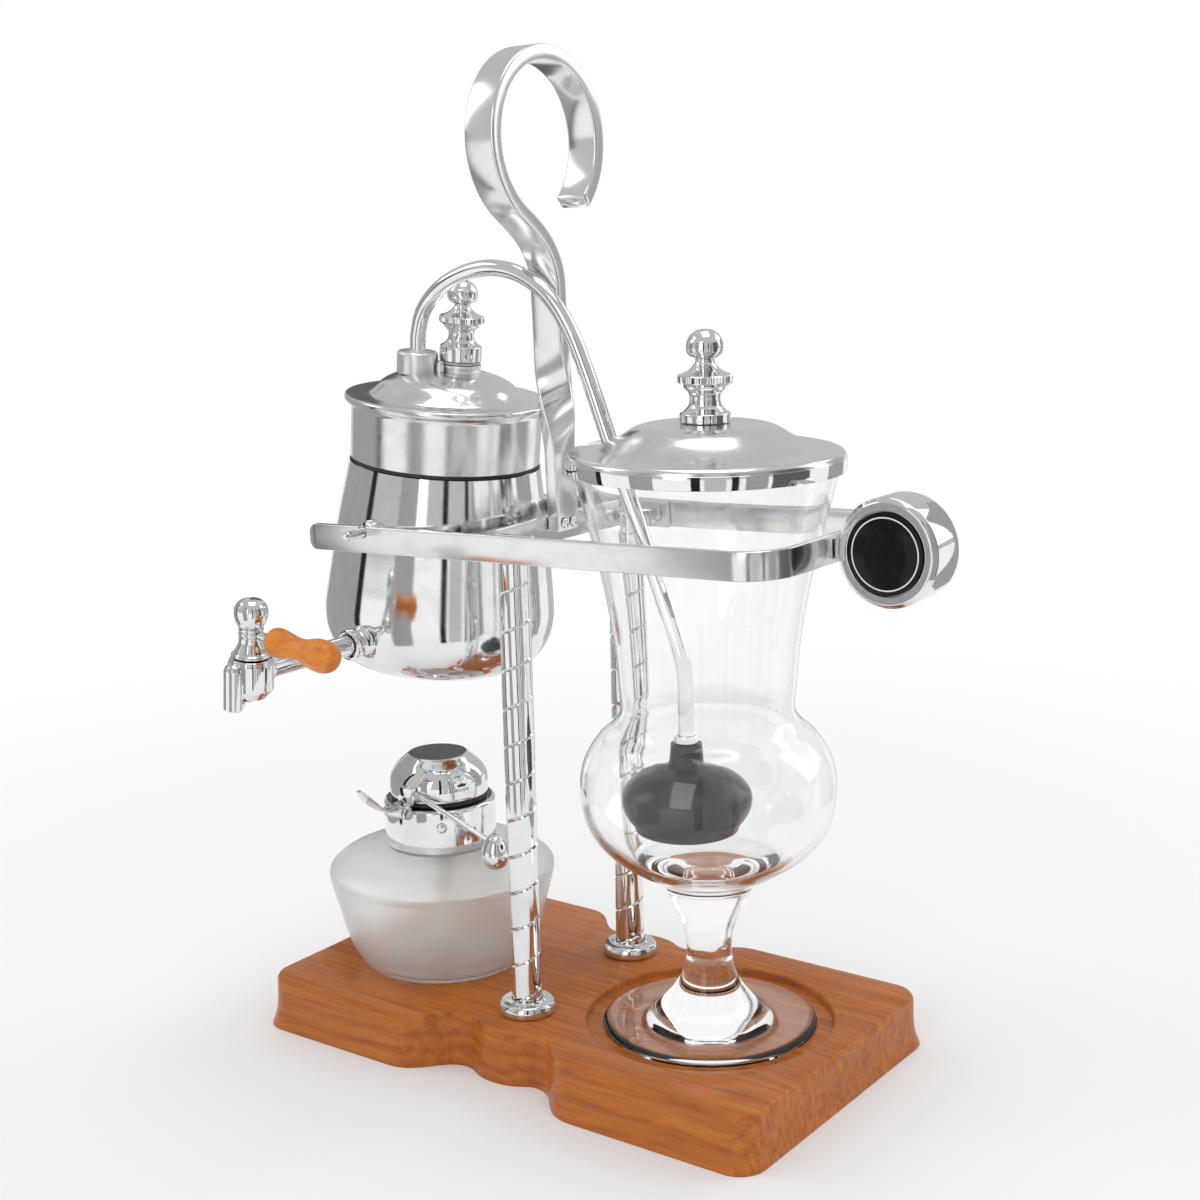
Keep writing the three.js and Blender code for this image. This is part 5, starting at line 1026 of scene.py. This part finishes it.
# %% Knobs
KNOB_FLANGE = [(0.93, 0), (0.93, 0.09), (0.86, 0.105)]
KNOB_WAIST = [(0.8, 0.112), (0.62, 0.17), (0.56, 0.255), (0.62, 0.32), (0.74, 0.355), (0.79, 0.375)]
KNOB_DISC = [(0.8, 0.385), (0.83, 0.395), (0.97, 0.42), (1.0, 0.435), (1.0, 0.498), (0.96, 0.51)]
KNOB_NECK = [(0.9, 0.513), (0.62, 0.555), (0.42, 0.61), (0.345, 0.655), (0.37, 0.68)]
KNOB_BALL = [(0.42, 0.692), (0.56, 0.71), (0.665, 0.76), (0.68, 0.8), (0.64, 0.87), (0.5, 0.94),
             (0.3, 0.985), (0, 1)]
SERRATION = 0.018


def knob(radius, height, base, below):
    """Knob on top of the line that comes below it, with a serrated disc."""
    parts = [rounded(scaled(KNOB_FLANGE, radius, height, base), 0.4),
             smooth(scaled(KNOB_WAIST, radius, height, base), 5),
             scaled(KNOB_DISC, radius, height, base),
             smooth(scaled(KNOB_NECK, radius, height, base), 5),
             smooth(scaled(KNOB_BALL, radius, height, base), 5)]
    bm = lathe([*below, *[spot for part in parts for spot in part]], FINE_SIDES)
    for v in bm.verts:
        reach = math.hypot(v.co.x, v.co.y)
        place = round(math.atan2(v.co.y, v.co.x) / math.tau * FINE_SIDES)
        if reach > 0.95 * radius and v.co.z > base + 0.3 * height and place % 2:
            bmesh.ops.scale(bm, vec=(1 - SERRATION, 1 - SERRATION, 1), verts=[v])
    return bm


cap_base = 64.3
below = rounded([(0, 53.8), (5.3, 53.8), (5.3, cap_base), (8.5, cap_base), (8.5, cap_base + 2.9)], 0.3)
filler = knob(8.5 / 0.93, 28.9, cap_base + 3.1, below[:-1])
show(filler, "filler_knob", chrome, FILLER, "filler_cap", sharp=28)
lid_knob_base = 260.5
below = [(0, lid_knob_base - 7.5), (2, lid_knob_base - 7.5), (2, lid_knob_base)]
show(knob(10.3, 34, lid_knob_base, below), "goblet_lid_knob", chrome, GOBLET, "lid_knob", sharp=28)
nut = cut(lathe(rounded([(0, 255.9), (4.6, 255.9), (4.6, 258.9), (0, 258.9)], 0.35), 6),
          rod(250, 265, 2.3, 0))
show(nut, "knob_nut", plain_steel, GOBLET, "lid_nut")
print("knobs made")

# %% [markdown]
# ## Tap
# Water left in the boiler is drawn off by a small tap on a pipe. The body is a barrel with a
# boxy web and a half-round spout, cut off on a slant underneath. The key is a bell, a ringed
# neck and a ball, turned by an orange wooden grip on a thin lever.

# %% Tap
ALONG = turn(90, "Y")
pipe = lathe(rounded([(2.2, 51.1), (4.1, 51.1), (4.1, 97.8), (2.2, 97.8)], 0.2, closed=True),
             SMALL_SIDES, ring=True)
show(pipe, "pipe", chrome, PIPE @ ALONG, "tap_pipe")
show(tube(4.4, 6.3, 51.1, 55.3, 0.9, SIDES), "pipe_ring", chrome, PIPE @ ALONG, "pipe_nut")

barrel = lathe([(0, -9), *rounded([(6.9, -9), (8.6, -6.2), (8.6, 4.2), (8.2, 4.9), (8.2, 5.2),
                                    (7.9, 5.9), (6.4, 6.4)], 0.5), (0, 6.4)], SIDES)
spout = lathe([(0, -12.5), *rounded([(3.9, -12.5), (3.9, 3.0), (3.2, 4.4), (1.9, 5.2)], 0.6), (0, 5.2)],
              SMALL_SIDES)
web = slab((-2, -4.1, -10.2), (8.4, 4.1, 2.2), 0.9)
sleeve = moved(rod(-8.9, 0, 5.2, 0.7), ALONG)
mouth = moved(tube(2.1, 3.1, -13.1, -10.9, 0.2, SMALL_SIDES), shift(8.4, 0, 0))
below_slope = shift(8.4, 0, -12.5) @ turn(24, "Y")
tap_shape = joined(*[cut(part, moved(slab((-60, -40, -40), (60, 40, 0), 0), below_slope))
                     for part in (barrel, moved(spout, shift(8.4, 0, 0)), web, sleeve)])
show(joined(tap_shape, mouth), "tap_barrel", chrome, TAP, "tap_body", sharp=28)

bell = [(1.13, 0), (1.17, 0.03), (1.02, 0.075), (0.88, 0.14), (0.76, 0.21), (0.72, 0.27), (0.72, 0.33)]
ball = [(0.6, 0.5), (0.72, 0.52), (0.9, 0.61), (1, 0.74), (0.93, 0.87), (0.62, 0.97), (0.3, 0.997), (0, 1)]
rings_line = [(0.62, 0.345), (0.62, 0.365), (0.74, 0.375), (0.74, 0.41), (0.64, 0.42), (0.64, 0.44),
              (0.74, 0.45), (0.74, 0.48)]
key = lathe([(0, -7), (4.9, -7), (4.9, 6.7), *smooth(scaled(bell, 6.4, 22.5, 6.7), 4),
             *rounded(scaled(rings_line, 6.4, 22.5, 6.7), 0.25), *smooth(scaled(ball, 6.4, 22.5, 6.7), 5)],
            SIDES)
show(key, "key_with_ball", chrome, TAP, "tap_key", sharp=36)
OUT = turn(-90, "X")
LEVER = TAP @ shift(0, 0, 15.2)
stem = lathe(rounded([(0, 5.1), (2.1, 5.1), (2.1, 9.2), (2.6, 9.5), (2.6, 10.6), (2.1, 10.9), (2.1, 17.5),
                      (0, 17.5)], 0.3), SMALL_SIDES)
show(stem, "lever_stem", chrome, LEVER @ OUT, "tap_lever")
grip_line = [(0.5, 0), (0.8, 0.02), (0.9, 0.09), (0.8, 0.24), (0.67, 0.41), (0.74, 0.54), (0.93, 0.66),
             (1, 0.76), (0.93, 0.88), (0.66, 0.965), (0.3, 0.995), (0, 1)]
grip = lathe([(0, 6.2), (2.4, 6.2), (2.4, 0.3), *smooth(scaled(grip_line, 6.2, 33), 5)], SIDES)
show(grip, "wooden_grip", grip_wood, LEVER @ OUT @ shift(0, 0, 11.5), "tap_grip")
print("tap made")

# %% [markdown]
# ## Siphon tube and filter
# A bent metal tube rises from the bottom of the boiler, arches over the beam and slants down into
# the goblet. A round section is carried along its middle line. At its end sits the dark
# filter, a bell-shaped disc with a cloth-backed screen underneath.

# %% Siphon tube
TUBE_RADIUS = 3.15
FILTER_X, FILTER_Y, FILTER_RISE, FILTER_HEIGHT = 56, -9, 103, 34
ARCH = [(0.005, 0.15), (0.03, 0.098), (0.095, 0.05), (0.2, 0.013), (0.31, 0), (0.42, 0.013),
        (0.52, 0.055), (0.6, 0.127), (0.662, 0.22), (0.74, 0.36), (0.83, 0.52), (0.92, 0.68),
        (0.972, 0.775), (0.994, 0.83), (1, 0.9), (1, 0.96)]
foot = BOILER @ Vector((-9, -9, -52.8))
middle = BOILER @ Vector((-9, -9, 0))
mouth = BOILER @ Vector((-9, -9, 67.4))
above = BOILER @ Vector((-9, -9, 70.55))
filter_top = FILTER_RISE + FILTER_HEIGHT
crown = mouth.z + 33.4
arch = [Vector((mouth.x + along * (FILTER_X - mouth.x), FILTER_Y, crown - down * (crown - filter_top)))
        for along, down in ARCH]
line = smooth([foot, middle, mouth, above, *arch, Vector((FILTER_X, FILTER_Y, filter_top - 5.2))], 8)
stations = []
for i, spot in enumerate(line):
    way = (line[min(i + 1, len(line) - 1)] - line[max(i - 1, 0)]).normalized()
    across = Vector((0, 1, 0))
    stations.append((spot, across, way.cross(across)))
section = [(TUBE_RADIUS * math.cos(math.tau * i / 32), TUBE_RADIUS * math.sin(math.tau * i / 32))
           for i in range(32)]
show(sweep(stations, section), "siphon", chrome, HERE, "siphon_tube", sharp=50)
print("tube with", len(line), "stations")

# %% Filter
FILTER = shift(FILTER_X, FILTER_Y, 0)
bell = [(0.8, 0.02), (0.83, 0.08), (0.94, 0.2), (1, 0.34), (0.97, 0.47), (0.8, 0.61), (0.52, 0.72),
        (0.3, 0.775), (0.26, 0.83), (0.25, 0.9), (0.24, 0.985)]
head = [(2.1, 107), (16.5, 107), (16.5, 103.2), (19.4, 103.2),
        *smooth(scaled(bell, 25.3, FILTER_HEIGHT, FILTER_RISE), 6),
        (6.0, 137), (3.45, 137), (3.45, 131.5), (2.1, 131.5)]
show(lathe(head, SIDES, ring=True), "filter_bell", filter_black, FILTER, "filter_head", sharp=40)
show(lathe([(0, 105.7), (16.2, 105.7), (16.2, 106.7), (0, 106.7)], SIDES), "filter_mesh", plain_steel,
     FILTER, "filter_screen")
show(tube(3.45, 4.8, 137.3, 140.7, 0.5), "filter_sleeve", chrome, FILTER, "filter_ferrule")
print("filter made")

# %% [markdown]
# ## Goblet and its lid
# The goblet is blown and drawn in one: a foot disc, a stem with two waists, a round bulb and a
# flaring tumbler. The wall is modelled on both sides, because glass shows its thickness. Its lid
# is a thin metal dome with a bright rolled rim and a slot for the tube.

# %% Goblet
GOBLET_BASE, GOBLET_HEIGHT, GOBLET_RADIUS, GLASS_WALL = 19.7, 224.7, 50, 2.2
foot_line = [(0.842, 0.0), (0.856, 0.003), (0.846, 0.0082), (0.7, 0.0105), (0.52, 0.0148),
             (0.448, 0.0274), (0.304, 0.0612), (0.21, 0.099), (0.178, 0.1415), (0.214, 0.192),
             (0.28, 0.2245), (0.378, 0.267), (0.592, 0.298), (0.818, 0.336), (0.946, 0.378),
             (0.998, 0.4365), (0.962, 0.49), (0.84, 0.5345), (0.722, 0.5585), (0.674, 0.578),
             (0.684, 0.6245), (0.716, 0.7067), (0.788, 0.802), (0.884, 0.891), (0.976, 0.973),
             (0.997, 0.995)]
outer = smooth(scaled(foot_line, GOBLET_RADIUS, GOBLET_HEIGHT, GOBLET_BASE), 6)
rim = GOBLET_BASE + GOBLET_HEIGHT
bowl = [spot for spot in inside(outer, GLASS_WALL) if spot.y > GOBLET_BASE + 0.305 * GOBLET_HEIGHT]
floor_line = smooth([bowl[-1], (bowl[-1].x * 0.72, GOBLET_BASE + 69.2),
                     (bowl[-1].x * 0.35, GOBLET_BASE + 67.4), (0, GOBLET_BASE + 66.8)], 5)
glass = [(0, GOBLET_BASE + 1.2), (14, GOBLET_BASE + 0.9), (36, GOBLET_BASE), *outer,
         (49.6, rim - 0.1), (49.0, rim), (48.4, rim - 0.1), *bowl[1:], *floor_line[1:]]
show(lathe(glass, FINE_SIDES), "goblet_glass", goblet_glass, GOBLET, "goblet", sharp=60)
print("goblet line has", len(glass), "points")

# %% Goblet lid
LID_RADIUS, SHEET_TOP, LID_RISE = 52.4, 245.7, 14.5
sheet_line = [(0.94, 0.3), (0.81, 0.36), (0.73, 0.45), (0.63, 0.62), (0.525, 0.85), (0.46, 0.93),
              (0.3, 0.985), (0, 1)]
outer = smooth(scaled(sheet_line, LID_RADIUS, LID_RISE, SHEET_TOP), 7)
lip = smooth([(LID_RADIUS, 247.7), (51.9, 248.9), (51.0, 249.7), (49.9, 250.05)], 5)
rim = [*rounded([(51.2, 242.4), (LID_RADIUS, 242.4), (LID_RADIUS, 247.5)], 0.5), *lip]
sheet = [*inside(outer, 1.0)[:-1], (49.0, 249.0), (47.9, 244.8), (51.1, 244.8), *rim, *outer]
lid_sheet = lathe(sheet, FINE_SIDES)
notch = joined(slab((-60, -5.5, 238), (-32.5, 5.5, 266), 0))
slot_end = moved(rod(238, 266, 5.5, 0), shift(-32.5, 0, 0))
lid_cut = cut(lid_sheet, moved(notch, shift(0, FILTER_Y, 0)), moved(slot_end, shift(0, FILTER_Y, 0)))
show(lid_cut, "goblet_lid_sheet", goblet_lid_metal, GOBLET, "glass_lid", sharp=30)
band = cut(tube(LID_RADIUS - 0.5, LID_RADIUS + 0.2, 242.5, 247.6, 0.25, FINE_SIDES),
           slab((-60, FILTER_Y - 5.5, 238), (-40, FILTER_Y + 5.5, 266), 0))
add_on(band, "goblet_lid_band", chrome, GOBLET, "goblet_lid")
print("goblet lid made")

# %% [markdown]
# ## Spirit burner
# A squat etched bottle holds the spirit. A chromed collar closes it and carries the wick in a
# tube. The snuffer is a dome with a flat top that swings over the wick on a hinge. A leaf-shaped
# tab lifts it, and a thin rod with an egg-shaped weight on its end lets the boiler's tilt knock it shut.

# %% Bottle, collar and wick
BOTTLE_BASE, BOTTLE_RADIUS, BOTTLE_HEIGHT, BOTTLE_WALL = 22.7, 47.9, 53.3, 2.6
shoulder = BOTTLE_BASE + BOTTLE_HEIGHT
belly = [(0.65, 0.002), (0.71, 0.012), (0.75, 0.045), (0.785, 0.1), (0.842, 0.2), (0.93, 0.49), (0.99, 0.7),
         (1, 0.75), (0.995, 0.79), (0.972, 0.82), (0.915, 0.86), (0.785, 0.915), (0.6, 0.962),
         (0.52, 0.975), (0.475, 0.985), (0.452, 1.0)]
outer = [Vector((0, BOTTLE_BASE + 1.5)), Vector((24, BOTTLE_BASE + 1.2)), Vector((29, BOTTLE_BASE + 0.1)),
         *smooth(scaled(belly, BOTTLE_RADIUS, BOTTLE_HEIGHT, BOTTLE_BASE), 6)]
inner = [spot for spot in inside(outer, BOTTLE_WALL) if spot.y < shoulder - 3]
mouth_line = rounded([(21.4, shoulder + 0.5), (21.4, shoulder + 14), (18.8, shoulder + 14),
                      (18.8, shoulder - 2.8)], 0.8)
bottle = lathe([*outer[:-1], *mouth_line, *inner], FINE_SIDES)
show(bottle, "bottle", etched_glass, BURNER, "burner_bottle", sharp=50)

collar_line = rounded([(22.6, 76.3), (23.6, 76.3), (23.6, 94.0), (22.6, 95.0), (4.9, 95.0), (4.9, 94.0),
                       (22.4, 94.0), (22.6, 93.4)], 0.45, closed=True)
show(lathe(collar_line, FINE_SIDES, ring=True), "collar_cup", chrome, BURNER, "burner_collar")
wick_line = rounded([(4, 61), (4.6, 61), (4.6, 95.3), (8.5, 95.3), (8.5, 96.3), (4.6, 96.3), (4.6, 103),
                     (4, 103)], 0.2, closed=True)
show(lathe(wick_line, SIDES, ring=True), "wick_sleeve", chrome, BURNER, "wick_tube")
show(lathe([(0, 29), *rounded([(3.7, 29), (3.7, 104.2), (2.8, 105.4)], 0.6), (0, 105.4)], SMALL_SIDES),
     "wick_cord", cotton, BURNER, "wick")
RIVET_TURN = -48
rivet = lathe([(0, 23.3), (2.2, 23.3), *smooth([(2.3, 23.7), (2.0, 24.4), (1.2, 24.8), (0, 24.95)], 4)],
              SMALL_SIDES)
add_on(rivet, "collar_rivet", chrome, BURNER @ shift(0, 0, 88) @ turn(RIVET_TURN, "Z") @ ALONG, "burner")
print("bottle, collar and wick made")

# %% Snuffer, hinge, tab and lever
HINGE_X, HINGE_Y, HINGE_Z = 0.9, -27.8, 95.3
SNUFFER_LOW, SNUFFER_HEIGHT, SNUFFER_RADIUS = 97.6, 16.6, 20.7
cap_line = [(1.0, 0.02), (1.0, 0.31), (0.972, 0.48), (0.9, 0.64), (0.8, 0.78), (0.69, 0.9), (0.635, 0.962)]
outer = [*smooth(scaled(cap_line, SNUFFER_RADIUS, SNUFFER_HEIGHT, SNUFFER_LOW), 6),
         *[Vector(p) for p in ((12.5, 114.05), (12.1, 114.17), (5, 114.2), (0, 114.2))]]
inner = inside(outer, 0.9)
inner[-1].y = SNUFFER_LOW
show(lathe([*outer[::-1], Vector((20.6, SNUFFER_LOW)), *inner[::-1]], FINE_SIDES), "snuffer_cap", chrome,
     BURNER, "snuffer_dome", sharp=26)
show(tube(17.3, 20.4, 95.3, 97.3, 0.5), "snuffer_gasket", rubber, BURNER, "snuffer_seal")

X_LINE = shift(HINGE_X, HINGE_Y, HINGE_Z) @ turn(90, "Y")
wall = moved(rod(80, 110, 23.9, 0, SIDES), HERE)
ears = [slab((HINGE_X + a, HINGE_Y, 89.9), (HINGE_X + b, -22, 95.3), 0.2)
        for a, b in ((-6.0, -4.5), (4.5, 6.0))]
knuckles = [moved(tube(1.4, 2.4, a, b, 0.2, SMALL_SIDES), X_LINE) for a, b in ((-6.0, -4.5), (4.5, 6.0))]
plate = slab((HINGE_X - 6, -25.1, 89.9), (HINGE_X + 6, -21.5, 92.9), 0.2)
bracket = cut(joined(*ears, plate), wall)
show(joined(bracket, *knuckles), "hinge_ears", chrome, BURNER, "hinge_bracket")
show(joined(moved(rod(-6.3, 6.3, 1.1), X_LINE), moved(rod(6.3, 7.05, 2, 0.25), X_LINE)), "hinge_rod",
     plain_steel, BURNER, "hinge_pin")

TAB = [(-0.06, 0.0, 0.62), (0.2, 0.03, 0.66), (0.42, 0.17, 0.86), (0.64, 0.42, 1.0), (0.84, 0.74, 0.86),
       (0.95, 0.92, 0.56), (1.0, 1.0, 0.22)]
leaf = smooth([Vector(spot) for spot in TAB], 5)
tab_stations = []
for i, spot in enumerate(leaf):
    way = leaf[min(i + 1, len(leaf) - 1)] - leaf[max(i - 1, 0)]
    along = Vector((0, -way.x * 21, way.y * 13.5)).normalized()
    place = Vector((HINGE_X, HINGE_Y - 1.2 - spot.x * 21, 96.9 + spot.y * 13.5))
    tab_stations.append((place, Vector((spot.z * 9.4 / 2, 0, 0)), along.cross(Vector((1, 0, 0))) * -0.62))
lens = [(math.cos(math.tau * i / 24), math.sin(math.tau * i / 24)) for i in range(24)]
tab = sweep(tab_stations, lens)
arm = cut(slab((HINGE_X - 4.2, -22.8, 97.9), (HINGE_X + 4.2, -17, 104.4), 0.5),
          rod(90, 110, 21.0, 0, FINE_SIDES))
strip = slab((HINGE_X - 4.2, HINGE_Y, 96.2), (HINGE_X + 4.2, -21.9, 98.0), 0.3)
knuckle = moved(tube(1.4, 2.4, -4.2, 4.2, 0.25, SMALL_SIDES), X_LINE)
show(joined(tab, arm, strip, knuckle), "leaf_tab", chrome, BURNER, "finger_tab")

rod_from = Vector((HINGE_X + 4.8, -21.9, 102.25))
egg_at = Vector((41.6, -14.4, 81.8))
aim = egg_at + Vector((0, 0, 3))
lay, reach = between(rod_from, aim)
show(moved(rod(0, reach - 1.8, 1.1), lay), "lever_wire", chrome, BURNER, "lever_rod")
egg_line = [(0, 0), (0.28, 0.012), (0.55, 0.06), (0.84, 0.2), (1, 0.4), (0.93, 0.62), (0.7, 0.83),
            (0.38, 0.96), (0.15, 0.995), (0, 1)]
egg = lathe(smooth(scaled(egg_line, 6, 15, -7.5), 5), SIDES)
show(egg, "lever_egg", chrome, BURNER @ Matrix.Translation(egg_at), "lever_weight", sharp=60)
print("snuffer made")

# %% [markdown]
# ## Room, lamps and camera
# The object stands on a plain white floor that runs out of view. Chrome shows only what stands
# around it, so the room matters more than the metal: big soft lamps give the white fields and a
# few tall black cards give the dark bands that a studio gives. The cards are seen in reflections
# alone. The camera has a long lens and looks slightly down.

# %% Floor and world
def staged(name, bm, material):
    mesh = bpy.data.meshes.new(name)
    bm.to_mesh(mesh)
    bm.free()
    mesh.materials.append(material)
    obj = bpy.data.objects.new(name, mesh)
    scene.collection.objects.link(obj)
    return obj


floor_paint, tree, shader, spot = material("white floor")
speck = node(tree, "ShaderNodeTexNoise", {"Vector": spot, "Scale": 3.0, "Detail": 2.0})
away = node(tree, "ShaderNodeVectorMath", {0: spot}, operation="LENGTH")
far = node(tree, "ShaderNodeMapRange", {"Value": away.outputs["Value"], "From Min": 0.3, "From Max": 0.75},
           interpolation_type="SMOOTHSTEP")
paint = mixed(tree, speck.outputs["Fac"], (0.86, 0.86, 0.86), (0.88, 0.88, 0.88))
near_paint = node(tree, "ShaderNodeMix", data_type="RGBA")
tree.links.new(far.outputs["Result"], near_paint.inputs[0])
tree.links.new(paint, near_paint.inputs[6])
near_paint.inputs[7].default_value = (0, 0, 0, 1)
tree.links.new(near_paint.outputs[2], shader.inputs["Base Color"])
tree.links.new(mixed(tree, far.outputs["Result"], (0, 0, 0), (1, 1, 1)), shader.inputs["Emission Color"])
shader.inputs["Emission Strength"].default_value = 1
shader.inputs["Roughness"].default_value = 0.9
shader.inputs["Specular IOR Level"].default_value = 0
floor_bm = bmesh.new()
bmesh.ops.create_grid(floor_bm, x_segments=1, y_segments=1, size=12)
staged("floor", floor_bm, floor_paint)

world = bpy.data.worlds.new("white room")
scene.world = world
world.use_nodes = True
tree = world.node_tree
ray = node(tree, "ShaderNodeLightPath")
seen = math_node(tree, "MAXIMUM", ray.outputs["Is Camera Ray"], ray.outputs["Is Transmission Ray"])
glow = {name: node(tree, "ShaderNodeBackground", {"Color": (1, 1, 1, 1), "Strength": strength}).outputs[0]
        for name, strength in (("light", 0.7), ("mirrored", 0.55), ("seen", 1.0))}
mirror = node(tree, "ShaderNodeMixShader", {0: ray.outputs["Is Glossy Ray"]})
tree.links.new(glow["light"], mirror.inputs[1])
tree.links.new(glow["mirrored"], mirror.inputs[2])
mix = node(tree, "ShaderNodeMixShader", {0: seen})
tree.links.new(mirror.outputs[0], mix.inputs[1])
tree.links.new(glow["seen"], mix.inputs[2])
tree.links.new(mix.outputs[0], tree.nodes["World Output"].inputs["Surface"])
print("room:", world.name)


# %% Lamps and cards
def soft_lamp(name, place, aim, width, height, power):
    data = bpy.data.lights.new(name, "AREA")
    data.shape = "RECTANGLE"
    data.size, data.size_y, data.energy = width, height, power
    lamp = bpy.data.objects.new(name, data)
    scene.collection.objects.link(lamp)
    lamp.location = place
    lamp.rotation_euler = (Vector(aim) - Vector(place)).to_track_quat("-Z", "Y").to_euler()
    return lamp


def card_paint(name, grey):
    made, tree, shader, spot = material(name)
    cloth = node(tree, "ShaderNodeTexNoise", {"Vector": spot, "Scale": 20.0})
    tree.links.new(mixed(tree, cloth.outputs["Fac"], (grey, grey, grey), (grey * 1.2, grey * 1.2, grey * 1.2)),
                   shader.inputs["Base Color"])
    shader.inputs["Roughness"].default_value = 1
    shader.inputs["Specular IOR Level"].default_value = 0
    return made


BLACK, DARK = card_paint("black card", 0.02), card_paint("dark card", 0.12)
GREY, PALE = card_paint("grey card", 0.36), card_paint("pale card", 0.55)


def card(name, paint, azimuth, distance, width, high):
    """Upright card on the floor, facing the object, seen in reflections only."""
    bm = bmesh.new()
    bmesh.ops.create_grid(bm, x_segments=1, y_segments=1, size=0.5)
    stand = (turn(azimuth, "Z") @ shift(0, -distance, high / 2) @ turn(90, "X")
             @ Matrix.Diagonal((width, high, 1, 1)))
    bmesh.ops.transform(bm, matrix=stand, verts=bm.verts)
    obj = staged(name, bm, paint)
    obj.visible_camera = False
    obj.visible_diffuse = False
    obj.visible_shadow = False
    obj.visible_transmission = False
    return obj


CENTRE = (0.0, 0.0, 0.17)
soft_lamp("front softbox", (0.34, -1.9, 0.9), CENTRE, 0.7, 1.5, 5)
soft_lamp("left softbox", (-1.5, -0.7, 1.2), CENTRE, 0.7, 1.2, 5)
soft_lamp("back softbox", (0.9, 1.6, 1.0), CENTRE, 1.3, 1.4, 8)
soft_lamp("top softbox", (0.1, 0.1, 2.0), CENTRE, 1.4, 1.0, 9)
for name, paint, azimuth, distance, width, high in (
        ("card_near", BLACK, 34, 0.36, 0.04, 0.5), ("card_front", GREY, -8, 0.36, 0.13, 0.5),
        ("card_mid", PALE, 47, 0.36, 0.09, 0.45), ("card_edge", BLACK, 60, 0.36, 0.03, 0.45),
        ("card_half", GREY, 74, 0.38, 0.1, 0.45), ("card_right", DARK, 99, 0.38, 0.2, 0.45),
        ("card_far", GREY, 150, 0.38, 0.2, 0.42), ("card_side", BLACK, -52, 0.35, 0.04, 0.42),
        ("card_left", GREY, -82, 0.34, 0.34, 0.42), ("card_back", DARK, -126, 0.36, 0.14, 0.42),
        ("card_rear", PALE, -160, 0.38, 0.2, 0.42)):
    card(name, paint, azimuth, distance, width, high)
print("lamps and cards set")

# %% Camera
CAMERA_PLACE = Vector((450.7, -601.9, 349.9)) * MM
AZIMUTH, DOWN, ROLL = 35.56, 13.80, -0.018255
camera_data = bpy.data.cameras.new("camera")
camera_data.lens, camera_data.sensor_width = 57.98, 36
camera_data.shift_x, camera_data.shift_y = -0.0190, 0.0412
camera = bpy.data.objects.new("camera", camera_data)
scene.collection.objects.link(camera)
a, e = math.radians(AZIMUTH), math.radians(DOWN)
back = Vector((math.sin(a) * math.cos(e), -math.cos(a) * math.cos(e), math.sin(e)))
camera.location = CAMERA_PLACE
camera.rotation_euler = (((-back).to_track_quat("-Z", "Y").to_matrix().to_4x4())
                         @ Matrix.Rotation(ROLL, 4, "Z")).to_euler()
scene.camera = camera
scene.view_settings.view_transform = "Standard"
print("camera at", [round(v, 3) for v in camera.location])
